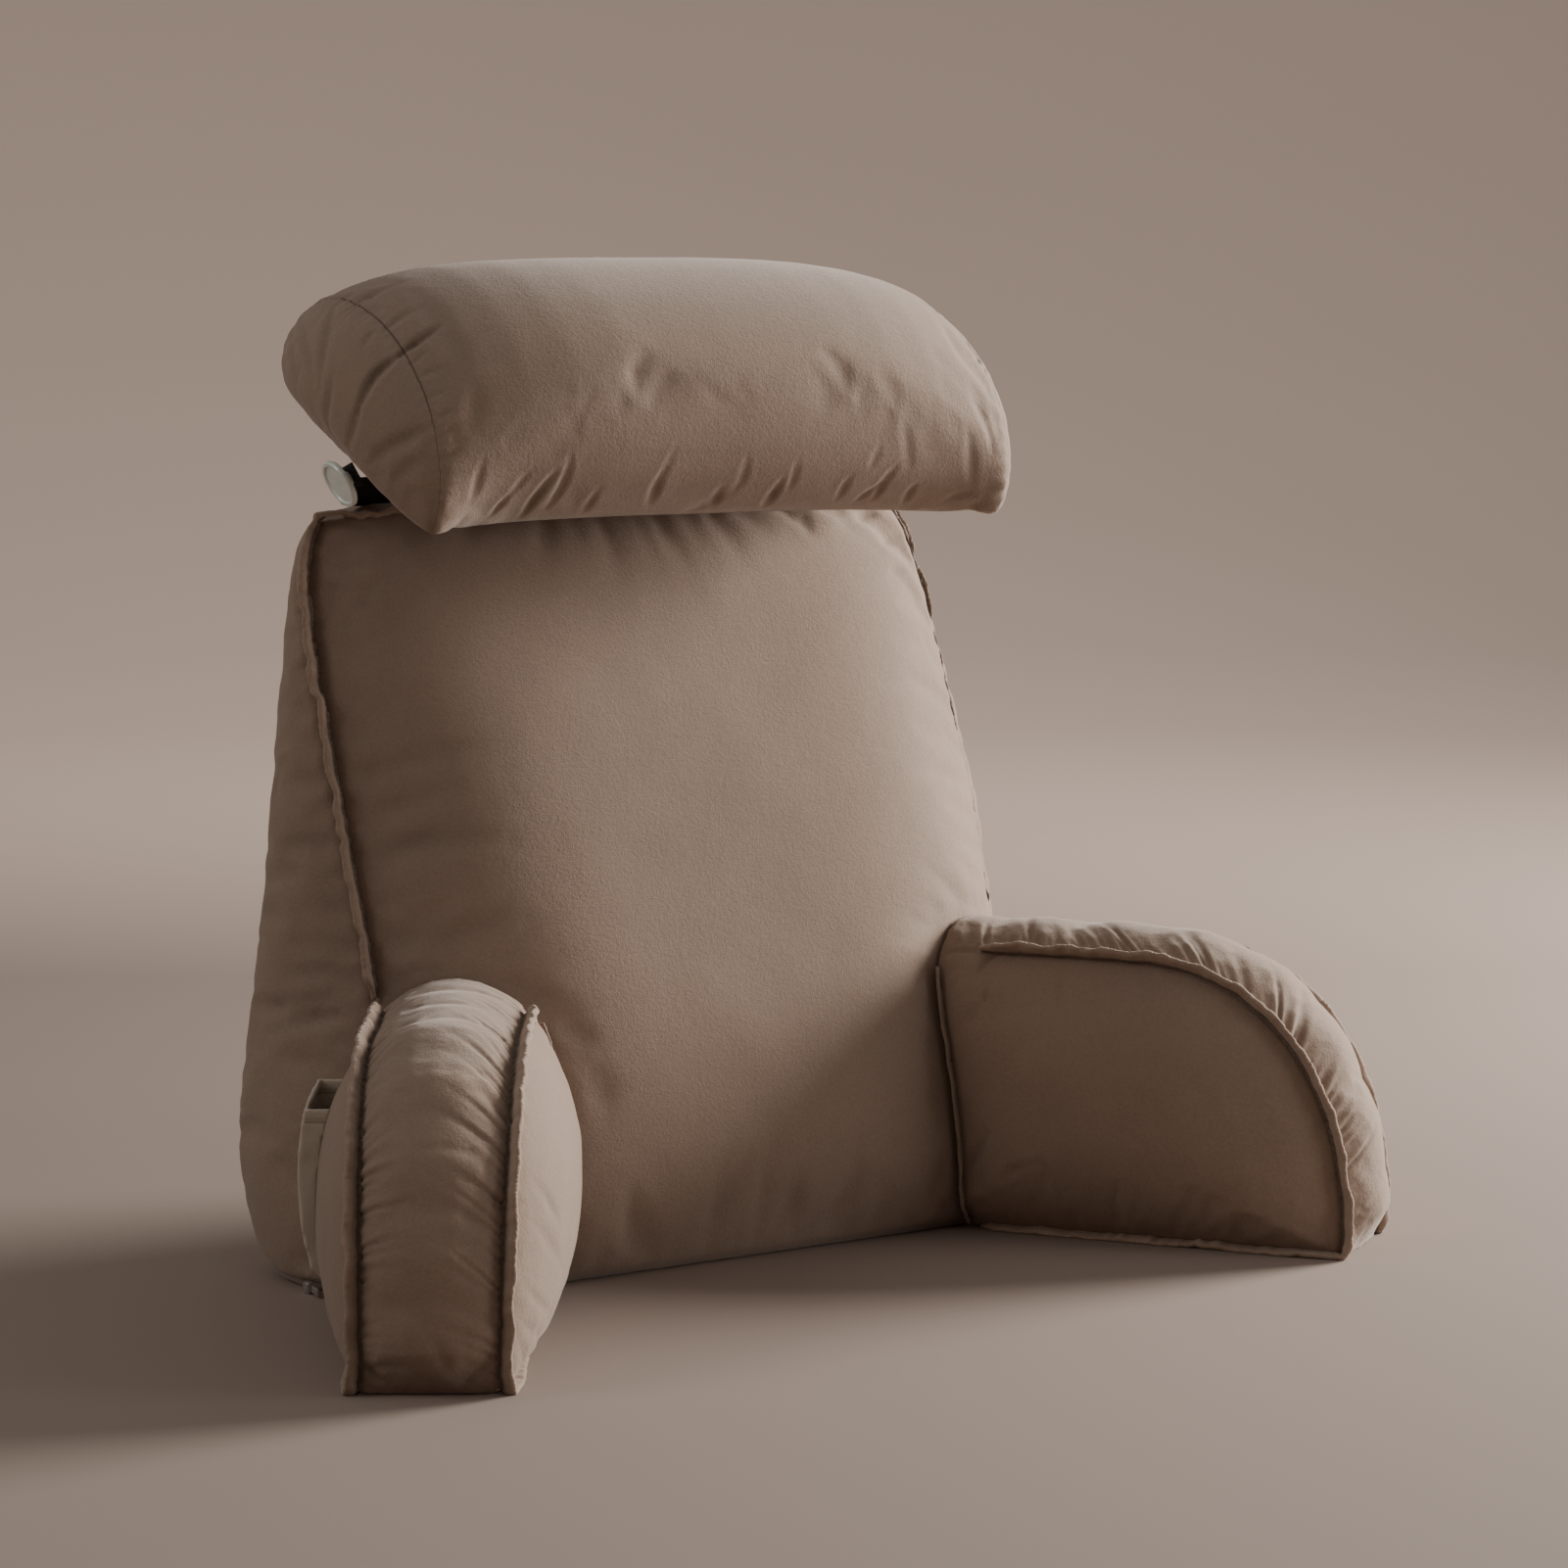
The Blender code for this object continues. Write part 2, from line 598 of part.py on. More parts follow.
def corner_at(frame, arm_tree, back_tree, z):
    """Place on the arm's inner face, at a height, where the back is nearest, and both normals."""
    nearest = None
    least = CORNER_SEARCH_START
    u = CORNER_SEARCH_START
    while u > ARM_REAR and least > CORNER_CLEARANCE:
        start = frame.place(u, -CORNER_SEARCH_REACH, z)
        spot, arm_normal, _, _ = arm_tree.ray_cast(start, frame.across)
        if spot:
            _, back_normal, _, distance = back_tree.find_nearest(spot)
            if distance < least:
                least = distance
                nearest = (spot, arm_normal, back_normal)
        u -= CORNER_SEARCH_STEP
    return nearest


def pocket(frame, arm_tree):
    """Pouch on the arm's outer face: a front sheet with side walls, open at the top."""
    outer_rows = []
    inner_rows = []
    for row in range(POCKET_ROWS + 1):
        share = row / POCKET_ROWS
        z = POCKET_MOUTH + (POCKET_BOTTOM - POCKET_MOUTH) * share
        rise = POCKET_STAND_OFF + (POCKET_BOTTOM_STAND_OFF - POCKET_STAND_OFF) * share
        if row == POCKET_ROWS:
            rise = POCKET_THICKNESS + SEWN_GAP + LOOSE_GAP
        outer_rows.append(pocket_section(frame, arm_tree, z, rise, 0.0))
        inner_rows.append(pocket_section(frame, arm_tree, z, rise - POCKET_THICKNESS, POCKET_THICKNESS))
    return sheet_object("side_pocket", "pocket_cloth", outer_rows, inner_rows)


def pocket_section(frame, arm_tree, z, rise, inset):
    """Points across the pouch at a height: rear foot, front sheet and front foot."""
    rear = POCKET_REAR + inset
    front = POCKET_FRONT - inset
    places = [(rear, SEWN_GAP)]
    for column in range(POCKET_COLUMNS + 1):
        places.append((rear + (front - rear) * column / POCKET_COLUMNS, rise))
    places.append((front, SEWN_GAP))
    points = []
    for u, stand_off in places:
        spot, _, _, _ = arm_tree.ray_cast(frame.place(u, CORNER_SEARCH_REACH, z), -frame.across)
        point = spot + frame.across * stand_off
        while not is_clear(point, (arm_tree,)):
            point += frame.across * SEAT_STEP
        points.append(point)
    return points


def sheet_object(name, material_name, outer_rows, inner_rows):
    """Closed sheet between two grids of the same rows and columns."""
    shape = bmesh.new()
    outer = [[shape.verts.new(point) for point in row] for row in outer_rows]
    inner = [[shape.verts.new(point) for point in row] for row in inner_rows]
    for grid in (outer, inner):
        for upper, lower in zip(grid, grid[1:]):
            for column in range(len(upper) - 1):
                shape.faces.new((upper[column], upper[column + 1], lower[column + 1], lower[column]))
    for row in (0, len(outer) - 1):
        for column in range(len(outer[row]) - 1):
            shape.faces.new((outer[row][column], outer[row][column + 1],
                             inner[row][column + 1], inner[row][column]))
    for column in (0, -1):
        for row in range(len(outer) - 1):
            shape.faces.new((outer[row][column], outer[row + 1][column],
                             inner[row + 1][column], inner[row][column]))
    return finish_object(name, material_name, shape)


def from_middle(side, distance):
    """X at a distance to one side of the bolster's middle."""
    return BOLSTER_MIDDLE_X + side * distance


def strap(side, name, back_tree, bolster_tree):
    """Elastic band from the back's top, round past the button, up to the bolster's underside."""
    centres = []
    for distance, y, z in STRAP_ROUTE:
        x = from_middle(side, distance)
        if z is None:
            z = highest(back_tree, x, y, STRAP_WIDTH / 2) + STRAP_THICKNESS / 2 + LOOSE_GAP
        centres.append(Vector((x, y, z)))
    distance, y = STRAP_END
    x = from_middle(side, distance)
    end_across = Vector((side * STRAP_END_ACROSS[0], *STRAP_END_ACROSS[1:]))
    under, _, _, _ = bolster_tree.ray_cast(Vector((x, y, BACK_TOP)), Vector((0, 0, 1)))
    drop = -end_across.z * STRAP_WIDTH / 2 + LOOSE_GAP
    centres.append(Vector((x, y, under.z - drop)))
    route = resample(smooth_line(centres), STRAP_STEPS, closed=False)
    rings = []
    for index, centre in enumerate(route):
        along = (route[min(index + 1, STRAP_STEPS - 1)] - route[max(index - 1, 0)]).normalized()
        share = min(1.0, max(0.0, (index / (STRAP_STEPS - 1) - STRAP_TWIST_START) / STRAP_TWIST_SHARE))
        wide = Vector((0.0, 1.0, 0.0)).lerp(end_across, share)
        wide = (wide - along * wide.dot(along)).normalized() * STRAP_WIDTH / 2
        thick = along.cross(wide).normalized() * STRAP_THICKNESS / 2
        rings.append([centre - wide - thick, centre + wide - thick, centre + wide + thick,
                      centre - wide + thick])
    return mesh_object(name, "black_elastic", rings)


def highest(tree, x, y, reach):
    """Greatest height of a surface within a reach of a place."""
    down = Vector((0.0, 0.0, -1.0))
    heights = []
    for step_x in (-1, 0, 1):
        for step_y in (-1, 0, 1):
            start = Vector((x + step_x * reach, y + step_y * reach, ABOVE_ALL))
            spot, _, _, _ = tree.ray_cast(start, down)
            if spot:
                heights.append(spot.z)
    return max(heights)


def smooth_line(points):
    """Dense points on a smooth open curve through the given ones."""
    dense = []
    last = len(points) - 1
    for index in range(last):
        before = (points[index + 1] - points[max(index - 1, 0)]) / 2
        after = (points[min(index + 2, last)] - points[index]) / 2
        for step in range(CURVE_STEPS):
            share = step / CURVE_STEPS
            dense.append(hermite(points[index], points[index + 1], before, after, share))
    return dense + [points[-1]]


def button(side, name):
    """Disc with a raised rim on its face and a boss behind, turned about its own axis."""
    rim = BUTTON_RADIUS - BUTTON_RIM_WIDTH
    back_face = -BUTTON_THICKNESS / 2
    front_face = BUTTON_THICKNESS / 2
    profile = (
        (BUTTON_BOSS_RADIUS, back_face - BUTTON_BOSS_LENGTH),
        (BUTTON_BOSS_RADIUS, back_face),
        (BUTTON_RADIUS - BUTTON_EDGE, back_face),
        (BUTTON_RADIUS, back_face + BUTTON_EDGE),
        (BUTTON_RADIUS, front_face),
        (BUTTON_RADIUS - BUTTON_EDGE, front_face + BUTTON_RIM_RISE),
        (rim, front_face + BUTTON_RIM_RISE),
        (rim - BUTTON_EDGE, front_face),
    )
    normal = Vector((side * BUTTON_NORMAL[0], *BUTTON_NORMAL[1:])).normalized()
    centre = Vector((from_middle(side, BUTTON_CENTRE[0]), *BUTTON_CENTRE[1:]))
    turn = normal.to_track_quat("Z", "Y").to_matrix().to_4x4()
    place = Matrix.Translation(centre) @ turn
    angles = [2 * math.pi * step / BUTTON_SEGMENTS for step in range(BUTTON_SEGMENTS)]
    rings = []
    for radius, height in profile:
        rings.append([place @ Vector((radius * math.cos(angle), radius * math.sin(angle), height))
                      for angle in angles])
    boss_end = place @ Vector((0.0, 0.0, profile[0][1]))
    face_middle = place @ Vector((0.0, 0.0, profile[-1][1]))
    return mesh_object(name, "pearl_plastic", rings, start_centre=boss_end, end_centre=face_middle)


def block(name, material_name, centre, size, turn, bevel):
    shape = bmesh.new()
    bmesh.ops.create_cube(shape, size=1.0)
    bmesh.ops.scale(shape, vec=size, verts=shape.verts)
    bmesh.ops.bevel(shape, geom=shape.edges[:], offset=bevel, segments=2, affect="EDGES")
    bmesh.ops.transform(shape, matrix=Matrix.Translation(centre) @ turn, verts=shape.verts)
    return finish_object(name, material_name, shape)


def zip_pieces(back_tree):
    """Slider against the foot of the side, with its pull lying forward from it."""
    centre = Vector((-BACK_LEVELS[0][2], ZIP_Y, ZIP_BODY.z / 2 + LOOSE_GAP))
    flat = ZIP_BODY / 2 - Vector((0.0, ZIP_BODY_BEVEL, ZIP_BODY_BEVEL))
    inner_face = [Vector((flat.x, end * flat.y, level * flat.z)) for end in (-1, 1) for level in (-1, 1)]
    while not all(is_clear(centre + corner, (back_tree,), LOOSE_GAP) for corner in inner_face):
        centre.x -= SEAT_STEP
    block("zip_slider", "zip_metal", centre, ZIP_BODY, Matrix.Identity(4), ZIP_BODY_BEVEL)
    swing = Matrix.Rotation(math.radians(ZIP_PULL_SWING), 4, "Z")
    reach = swing @ Vector((0.0, -1.0, 0.0))
    pull_centre = centre + Vector((0.0, -ZIP_BODY.y / 2, 0.0)) + reach * (ZIP_PULL_LENGTH / 2 + 2 * GAP)
    size = Vector((ZIP_PULL_THICKNESS, ZIP_PULL_LENGTH, ZIP_PULL_WIDTH))
    block("zip_pull", "zip_metal", pull_centre, size, swing, ZIP_PULL_BEVEL)


def carry_on_base():
    """Empty that carries every piece, placed so that the middle of the base is the origin."""
    pieces = list(bpy.data.objects)
    base = bpy.data.objects.new("base_middle", None)
    bpy.context.scene.collection.objects.link(base)
    base.location = -Vector(BASE_MIDDLE)
    for piece in pieces:
        piece.parent = base


def main():
    clear_scene()
    back = back_cushion()
    back_guide = grown_copy(back, GAP)
    back_tree = surface_tree(back)
    arm_guides = []
    for row in ARM_ROWS:
        frame = ArmFrame(row)
        cushion = arm(frame)
        cut_by(cushion, back_guide)
        arm_tree = surface_tree(cushion)
        arm_guide = grown_copy(cushion, GAP)
        arm_guides.append(arm_guide)
        for outer in (False, True):
            cut_by(arm_flange(frame, outer, (arm_tree, back_tree)), arm_guide)
        cut_by(join_strip(frame, arm_tree, back_tree), arm_guide)
        if frame.name == POCKET_ARM:
            pocket(frame, arm_tree)
    headrest = bolster()
    cut_by(headrest, back_guide)
    top_flange = back_flange((back_tree,))
    for arm_guide in arm_guides:
        cut_by(top_flange, arm_guide)
    bolster_tree = surface_tree(headrest)
    for side, name in ((-1, "left"), (1, "right")):
        strap(side, "strap_" + name, back_tree, bolster_tree)
        button(side, "button_" + name)
    zip_pieces(back_tree)
    carry_on_base()


main()
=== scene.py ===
"""Dresses the backrest pillow in its brushed cloth, with its gathers, flanges, pocket and fastenings."""

import math
import random

import bmesh
import bpy
import numpy as np
from bpy.props import FloatProperty, FloatVectorProperty, PointerProperty
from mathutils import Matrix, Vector, noise
from mathutils.bvhtree import BVHTree
from mathutils.kdtree import KDTree


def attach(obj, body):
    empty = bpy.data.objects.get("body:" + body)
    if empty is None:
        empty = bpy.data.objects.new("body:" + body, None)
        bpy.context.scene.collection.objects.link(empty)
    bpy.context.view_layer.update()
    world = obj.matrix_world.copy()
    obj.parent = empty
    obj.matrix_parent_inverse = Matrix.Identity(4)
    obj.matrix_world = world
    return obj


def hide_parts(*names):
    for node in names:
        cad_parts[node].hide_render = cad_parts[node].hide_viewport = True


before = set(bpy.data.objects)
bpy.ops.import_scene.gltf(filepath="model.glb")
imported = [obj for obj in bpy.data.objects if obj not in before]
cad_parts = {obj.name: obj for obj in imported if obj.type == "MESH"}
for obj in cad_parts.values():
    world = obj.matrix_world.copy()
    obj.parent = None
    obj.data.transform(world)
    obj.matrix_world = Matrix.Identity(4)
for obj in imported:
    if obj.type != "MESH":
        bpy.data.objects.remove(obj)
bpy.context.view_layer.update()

bl_info = {
    "name": "Backrest Pillow",
    "version": (1, 0, 0),
    "blender": (4, 5, 0),
    "location": "3D View > Sidebar > Pillow",
    "description": "Dresses a backrest pillow with filled cloth, gathers, seam flanges and fastenings",
    "category": "Object",
}

# Arms as the frame holds them: u runs forward along an arm, n outward across it and z up
ARM_COLUMNS = ("name", "side", "root_x", "root_y", "height", "thickness", "lean")
ARM_ROWS = (
    ("left", -1, 0.184, -0.085, 0.196, 0.098, 0.002),
    ("right", 1, 0.194, -0.079, 0.206, 0.094, 0.004),
)
ARM_SPLAY = math.radians(33.0)
ARM_LENGTH = 0.287
ARM_REAR = -0.034
ARM_REAR_RADIUS = 0.030
ARM_CURVE_START = 0.118
ARM_CURVE_POWER = 2.4
ARM_FOOT_NARROWING = 0.10
ARM_OUTER_REACH = 0.016
ARM_REACH_LENGTH = 0.120

CUSHIONS = ("back_cushion", "arm_left", "arm_right", "headrest_bolster")

# Seams of the back cushion as z, middle x, half width and y, from the floor to the top
FRONT_SEAM = (
    (0.000, 0.000, 0.254, -0.066),
    (0.012, 0.000, 0.260, -0.074),
    (0.060, 0.000, 0.263, -0.060),
    (0.120, 0.002, 0.265, -0.040),
    (0.200, 0.006, 0.265, -0.012),
    (0.300, 0.006, 0.268, 0.020),
    (0.380, 0.003, 0.267, 0.045),
    (0.460, 0.000, 0.264, 0.070),
    (0.505, 0.000, 0.257, 0.084),
    (0.529, 0.000, 0.244, 0.091),
)

REAR_SEAM = (
    (0.000, 0.000, 0.298, 0.060),
    (0.060, 0.000, 0.308, 0.098),
    (0.120, 0.002, 0.304, 0.113),
    (0.200, 0.006, 0.294, 0.117),
    (0.300, 0.006, 0.282, 0.117),
    (0.380, 0.003, 0.270, 0.117),
    (0.460, 0.000, 0.257, 0.119),
    (0.529, 0.000, 0.224, 0.126),
)

# Planes of the bolster's end seams
BOLSTER_END_X = {"left": -0.243, "right": 0.231}
BOLSTER_MIDDLE_X = -0.006

# Left strap: places on its middle line, each with the run from there to its lower edge
STRAP_ROWS = (
    (-0.1660, 0.1055, 0.5438, 0.0000, 0.0000, -0.0102),
    (-0.1850, 0.1055, 0.5430, 0.0000, 0.0000, -0.0102),
    (-0.2030, 0.1050, 0.5422, 0.0005, 0.0000, -0.0102),
    (-0.2190, 0.1015, 0.5424, 0.0015, 0.0000, -0.0098),
    (-0.2290, 0.0930, 0.5445, 0.0025, -0.0015, -0.0084),
    (-0.2347, 0.0800, 0.5478, 0.0030, -0.0030, -0.0080),
    (-0.2390, 0.0640, 0.5518, 0.0036, -0.0025, -0.0078),
    (-0.2420, 0.0480, 0.5550, 0.0041, -0.0015, -0.0078),
    (-0.2441, 0.0342, 0.5584, 0.0043, -0.0008, -0.0079),
)
STRAP_THICKNESS = 0.0018

# Gathers: spacing, reach and depth, then their slants by distance along the seam
ARM_GATHERS = {
    "inner": (0.0078, 0.029, 0.0021,
              ((0.32, 0.45), (0.47, 0.50), (0.56, 1.0), (0.62, 0.9), (0.70, 0.25))),
    "outer": (0.0084, 0.023, 0.0019,
              ((0.32, 0.08), (0.47, 0.15), (0.56, 0.8), (0.62, 0.7), (0.70, 0.25))),
}
PANEL_GATHERS = (0.021, 0.014, 0.0005, ((0.0, 0.0), (1.0, 0.0)))
FRONT_GATHERS = (0.016, 0.018, 0.0008, ((0.0, 0.0), (1.0, 0.0)))
REAR_GATHERS = (0.020, 0.020, 0.0009, ((0.0, 0.0), (1.0, 0.0)))
BOLSTER_GATHERS = (0.0095, 0.016, 0.0012, ((0.0, 0.2), (1.0, 0.2)))

# Creases in millimetres: width, depth and a few places along each
BACK_CREASES = (
    (4, 1.4, ((-239, 87, 523), (-223, 82, 520), (-208, 78, 517))),
    (4, 1.4, ((-248, 69, 479), (-232, 62, 477), (-217, 57, 477))),
    (4, 1.4, ((-250, 65, 465), (-234, 58, 465), (-210, 50, 466))),
    (4, 1.0, ((-246, 74, 494), (-231, 69, 492), (-214, 64, 492))),
    (4, 1.0, ((-250, 60, 453), (-242, 56, 453), (-235, 52, 452))),
    (4, 1.4, ((-268, 88, 459), (-265, 75, 462), (-258, 69, 464))),
    (4, 1.4, ((-262, 91, 487), (-261, 82, 489), (-258, 79, 491))),
    (4, 1.2, ((-266, 92, 470), (-264, 77, 471), (-257, 71, 473))),
    (4, 1.0, ((-270, 81, 436), (-268, 70, 437), (-262, 62, 437))),
    (4, 1.0, ((-272, 79, 422), (-269, 68, 423), (-264, 58, 423))),
    (13, 2.4, ((-255, 14, 299), (-230, -2, 304), (-200, -15, 309), (-164, -27, 305))),
    (15, 2.0, ((-255, -7, 228), (-227, -25, 238), (-192, -39, 248), (-164, -45, 252))),
    (10.5, 2.4, ((-216, -41, 207), (-190, -52, 208), (-163, -61, 203), (-139, -68, 195))),
    (10, 1.4, ((-194, -54, 197), (-165, -64, 194), (-140, -70, 187))),
    (12, 2.4, ((-153, -69, 181), (-138, -73, 174), (-122, -78, 162))),
    (14, 1.8, ((-134, -79, 153), (-124, -83, 137), (-122, -87, 114))),
    (12, 1.8, ((-257, -11, 207), (-237, -26, 215), (-215, -40, 214))),
    (8, 2.4, ((-288, 60, 210), (-280, 33, 216), (-267, 6, 217))),
    (7, 3.4, ((-297, 73, 169), (-289, 40, 179), (-275, 11, 189))),
    (7, 2.2, ((-294, 78, 187), (-286, 41, 195), (-272, 9, 200))),
    (7, 1.8, ((-282, 82, 299), (-277, 55, 304), (-266, 29, 306))),
    (5, 2.6, ((228, 82, 518), (213, 76, 514), (193, 70, 509))),
    (5, 2.2, ((242, 75, 498), (230, 70, 495), (216, 65, 493))),
    (5, 2.6, ((242, 66, 476), (226, 58, 473), (206, 51, 469))),
    (4, 1.8, ((133, 72, 519), (139, 66, 511), (143, 58, 498))),
    (6, 1.6, ((153, 76, 523), (146, 65, 509), (147, 55, 494))),
    (12, 1.8, ((34, -94, 54), (30, -92, 34), (18, -88, 14))),
    (10, 1.4, ((-9, -93, 79), (-24, -94, 52), (-41, -91, 25))),
    (10, 1.2, ((83, -93, 40), (65, -91, 25), (43, -87, 11))),
    (7, 1.8, ((261, -16, 214), (247, -30, 208), (232, -39, 206))),
)
ARM_CREASES = {
    "left": (
        (4, 2.2, ((-418, -276, 21), (-413, -282, 14), (-404, -287, 7))),
        (5, 1.6, ((-367, -310, 3), (-360, -319, 14), (-349, -322, 22))),
        (6, 1.2, ((-389, -314, 42), (-384, -318, 32), (-375, -314, 15))),
        (6, 1.4, ((-302, -291, 124), (-286, -285, 107), (-277, -281, 94))),
        (7, 1.2, ((-307, -300, 101), (-290, -291, 83), (-274, -278, 64))),
        (5, 1.6, ((-321, -311, 63), (-306, -303, 49), (-290, -291, 39))),
        (5, 1.4, ((-324, -314, 41), (-312, -307, 32), (-298, -296, 28))),
    ),
    "right": (
        (6, 2.6, ((182, -91, 37), (183, -102, 54), (186, -118, 76))),
        (6, 1.4, ((190, -125, 42), (194, -137, 52), (201, -156, 59))),
        (4, 1.6, ((184, -114, 168), (188, -113, 178), (193, -111, 186))),
        (3.5, 2.0, ((189, -100, 191), (197, -100, 200), (205, -104, 206))),
        (8, 1.0, ((215, -161, 172), (222, -155, 187), (225, -149, 197))),
        (8, 1.0, ((253, -214, 177), (259, -208, 191), (263, -201, 200))),
    ),
}
BOLSTER_CREASES = (
    (5, 4.8, ((-273, -21, 602), (-267, -23, 618), (-259, -25, 630), (-245, -31, 641))),
    (4.5, 4.2, ((-246, -30, 641), (-231, -32, 650), (-214, -30, 660))),
    (5.5, 2.6, ((-275, -11, 579), (-274, -19, 594), (-272, -21, 608))),
    (6, 2.4, ((-276, 16, 589), (-278, 10, 609), (-275, 10, 626))),
    (6, 2.4, ((-278, 31, 622), (-273, 50, 642), (-254, 97, 663))),
    (5, 1.8, ((-276, 60, 620), (-270, 77, 638), (-257, 104, 653))),
    (6, 2.4, ((-278, 21, 617), (-272, 28, 640), (-262, 40, 658), (-250, 55, 673))),
    (7, 2.4, ((-270, -31, 568), (-264, -49, 580), (-255, -61, 586), (-245, -70, 594))),
    (7, 1.4, ((-263, -48, 555), (-256, -62, 567), (-249, -72, 572))),
    (4, 1.2, ((-260, -4, 644), (-252, -1, 654), (-247, -3, 658))),
    (5, 2.0, ((-245, 41, 675), (-230, 34, 681), (-205, 28, 688))),
    (5, 1.8, ((-245, -8, 657), (-232, -7, 665), (-217, -9, 671))),
    (3, 1.2, ((-243, -40, 635), (-236, -41, 639), (-227, -41, 644))),
    (3, 1.2, ((-243, -50, 625), (-233, -52, 630), (-221, -54, 634))),
    (3, 1.0, ((-245, -60, 611), (-237, -62, 614), (-227, -64, 618))),
    (3.2, 1.2, ((-243, -70, 597), (-235, -71, 601), (-226, -72, 606))),
    (3, 1.0, ((-244, -74, 585), (-236, -76, 590), (-229, -77, 594))),
    (3, 1.0, ((-244, -78, 571), (-238, -79, 574), (-229, -80, 578))),
    (5, 1.2, ((-217, -75, 542), (-215, -81, 557), (-212, -83, 570))),
    (4, 1.8, ((-192, -58, 531), (-188, -71, 541), (-184, -77, 548))),
    (4, 2.2, ((-186, -73, 543), (-180, -80, 553), (-172, -84, 564))),
    (4.5, 3.0, ((-163, -48, 530), (-163, -74, 545), (-150, -86, 566))),
    (4.5, 2.0, ((-148, -59, 536), (-145, -80, 553), (-144, -89, 577))),
    (4, 1.4, ((-113, -42, 532), (-116, -67, 540), (-114, -80, 553))),
    (4.5, 1.8, ((-56, -26, 530), (-70, -76, 548), (-65, -86, 564), (-59, -92, 584))),
    (4.5, 1.8, ((-1, -29, 531), (-13, -68, 542), (-12, -78, 550))),
    (4.5, 1.6, ((0, -65, 540), (1, -80, 553), (-2, -90, 574))),
    (4.5, 2.6, ((41, -29, 531), (34, -67, 541), (36, -82, 556))),
    (4, 1.4, ((46, -66, 541), (42, -85, 560), (42, -90, 575))),
    (4, 1.8, ((94, -56, 536), (91, -75, 547), (95, -82, 557))),
    (4.5, 2.8, ((126, -56, 535), (124, -76, 547), (133, -85, 563))),
    (4.5, 1.4, ((106, -80, 553), (110, -87, 568), (113, -90, 579))),
    (4, 1.8, ((111, -50, 534), (119, -67, 541), (130, -76, 547))),
    (4, 2.0, ((156, -50, 531), (151, -69, 541), (159, -73, 545))),
    (4, 2.0, ((186, -62, 532), (195, -69, 536), (206, -70, 534))),
    (6, 1.0, ((143, -79, 552), (135, -89, 577), (129, -90, 597))),
    (5, 1.4, ((214, -81, 567), (208, -79, 592), (198, -77, 605))),
    (6, 1.0, ((201, -73, 539), (196, -81, 558), (189, -84, 585))),
    (3.5, 2.4, ((228, -22, 651), (229, -35, 641), (231, -50, 626))),
)

# Depth that the shading takes for a full fold: at this depth the cloth's painted fold shade is full
FULL_FOLD = 0.002

# Seams: spacing of their points, the distance that stands for none, and the stitched lines
SEAM_STEP = 0.001
NO_SEAM = 0.05
ZIP_HEIGHT = 0.006
ZIP_SIDE_X = -0.26
ZIP_RUN_Y = (-0.04, 0.11)
STITCH_HEIGHT = 0.0024
STITCH_LENGTH = 0.0030
STITCH_SHARE = 0.7
POCKET_MOUTH = 0.156
POCKET_HEM = 0.009

# Flanges: height, how far a root looks for its cushion, how deep it is sewn in and how an end narrows
FLANGE_HEIGHT = 0.007
ROOT_REACH = 0.010
ROOT_DEPTH = 0.0006
END_TAPER = 0.014
END_SHARE = 0.35
BACK_SWAY = 0.0011
ARM_SWAY = 0.0010
RIGHT_SIDE_LAID = 1.35

# Spans over which a flange sways more, lies down, gets shorter, puffs out and is held at its root
SWAYING_Z = (0.36, 0.42)
LAID_X = (0.05, 0.16)
SHORTER_Z = (0.500, 0.524)
PUFFED = (0.0028, 0.0050)
ROOTED = (0.0012, 0.0036)
PULLED = (0.0010, 0.0030)

# Filling: frames, cloth, what is held while it fills and what is pressed flat after
CLOTH_FRAMES = 20
CLOTH_QUALITY = 4
CLOTH_MASS = 0.2
CLOTH_TENSION = 12.0
CLOTH_SHEAR = 6.0
CLOTH_BENDING = 0.4
TOUCH_REACH = 0.02
HELD_TOUCH = 0.008
HELD_FLOOR = 0.006
PRESSED_TOUCH = 0.003
HELD_REACH = 0.012
PRESSED_FLOOR = 0.0005
FLOOR_REACH = 0.004
FLOOR_GAP = 0.0002

# Filled cushions: how far the cloth may lift and how much wider it is cut than its solid
BACK_FILLING = (0.006, 0.020)
ARM_FILLING = (0.004, 0.008)
BOLSTER_FILLING = (0.004, 0.008)

# Reach of the finer mesh beside seams, its lowest height and the bolster's finely creased front
ARM_BAND_FINE = 0.036
ARM_PANEL_FINE = 0.010
BACK_FINE = 0.016
BOLSTER_FINE = 0.013
LOWEST_FINE = 0.004
END_PANEL_REACH = 0.004
CREASED_FRONT_Y = -0.03
CREASED_FRONT_Z = (0.529, 0.586)

# Valleys at stitched lines: depth and width
ARM_VALLEY = (0.0016, 0.0032)
FRONT_VALLEY = (0.0020, 0.005)
REAR_VALLEY = (0.0013, 0.004)
ZIP_VALLEY = (0.0012, 0.0022)
BOLSTER_VALLEY = (0.0007, 0.0015)

# Round floor and the sweep at its rim
FLOOR_RADIUS = 3.8
SWEEP_RADIUS = 5.0
SWEEP_STEPS = 10

# Lights: name, place, target, size, power and colour
LIGHTS = (
    ("key", (3.00, -0.45, 1.20), (0.0, -0.1, 0.3), 1.4, 262.0, (1.0, 0.98, 0.95)),
    ("front", (2.1, -2.4, 0.75), (0.0, -0.1, 0.35), 1.2, 22.0, (1.0, 0.98, 0.96)),
    ("left", (-2.7, 0.6, 1.9), (-0.2, 0.0, 0.3), 1.6, 20.0, (1.0, 0.98, 0.95)),
    ("backdrop", (0.9, 1.6, 3.4), (4.0, 6.5, 2.4), 3.0, 330.0, (1.0, 0.98, 0.96)),
)
SKY_COLOUR = (1.0, 0.96, 0.92, 1.0)
SKY_STRENGTH = 0.31

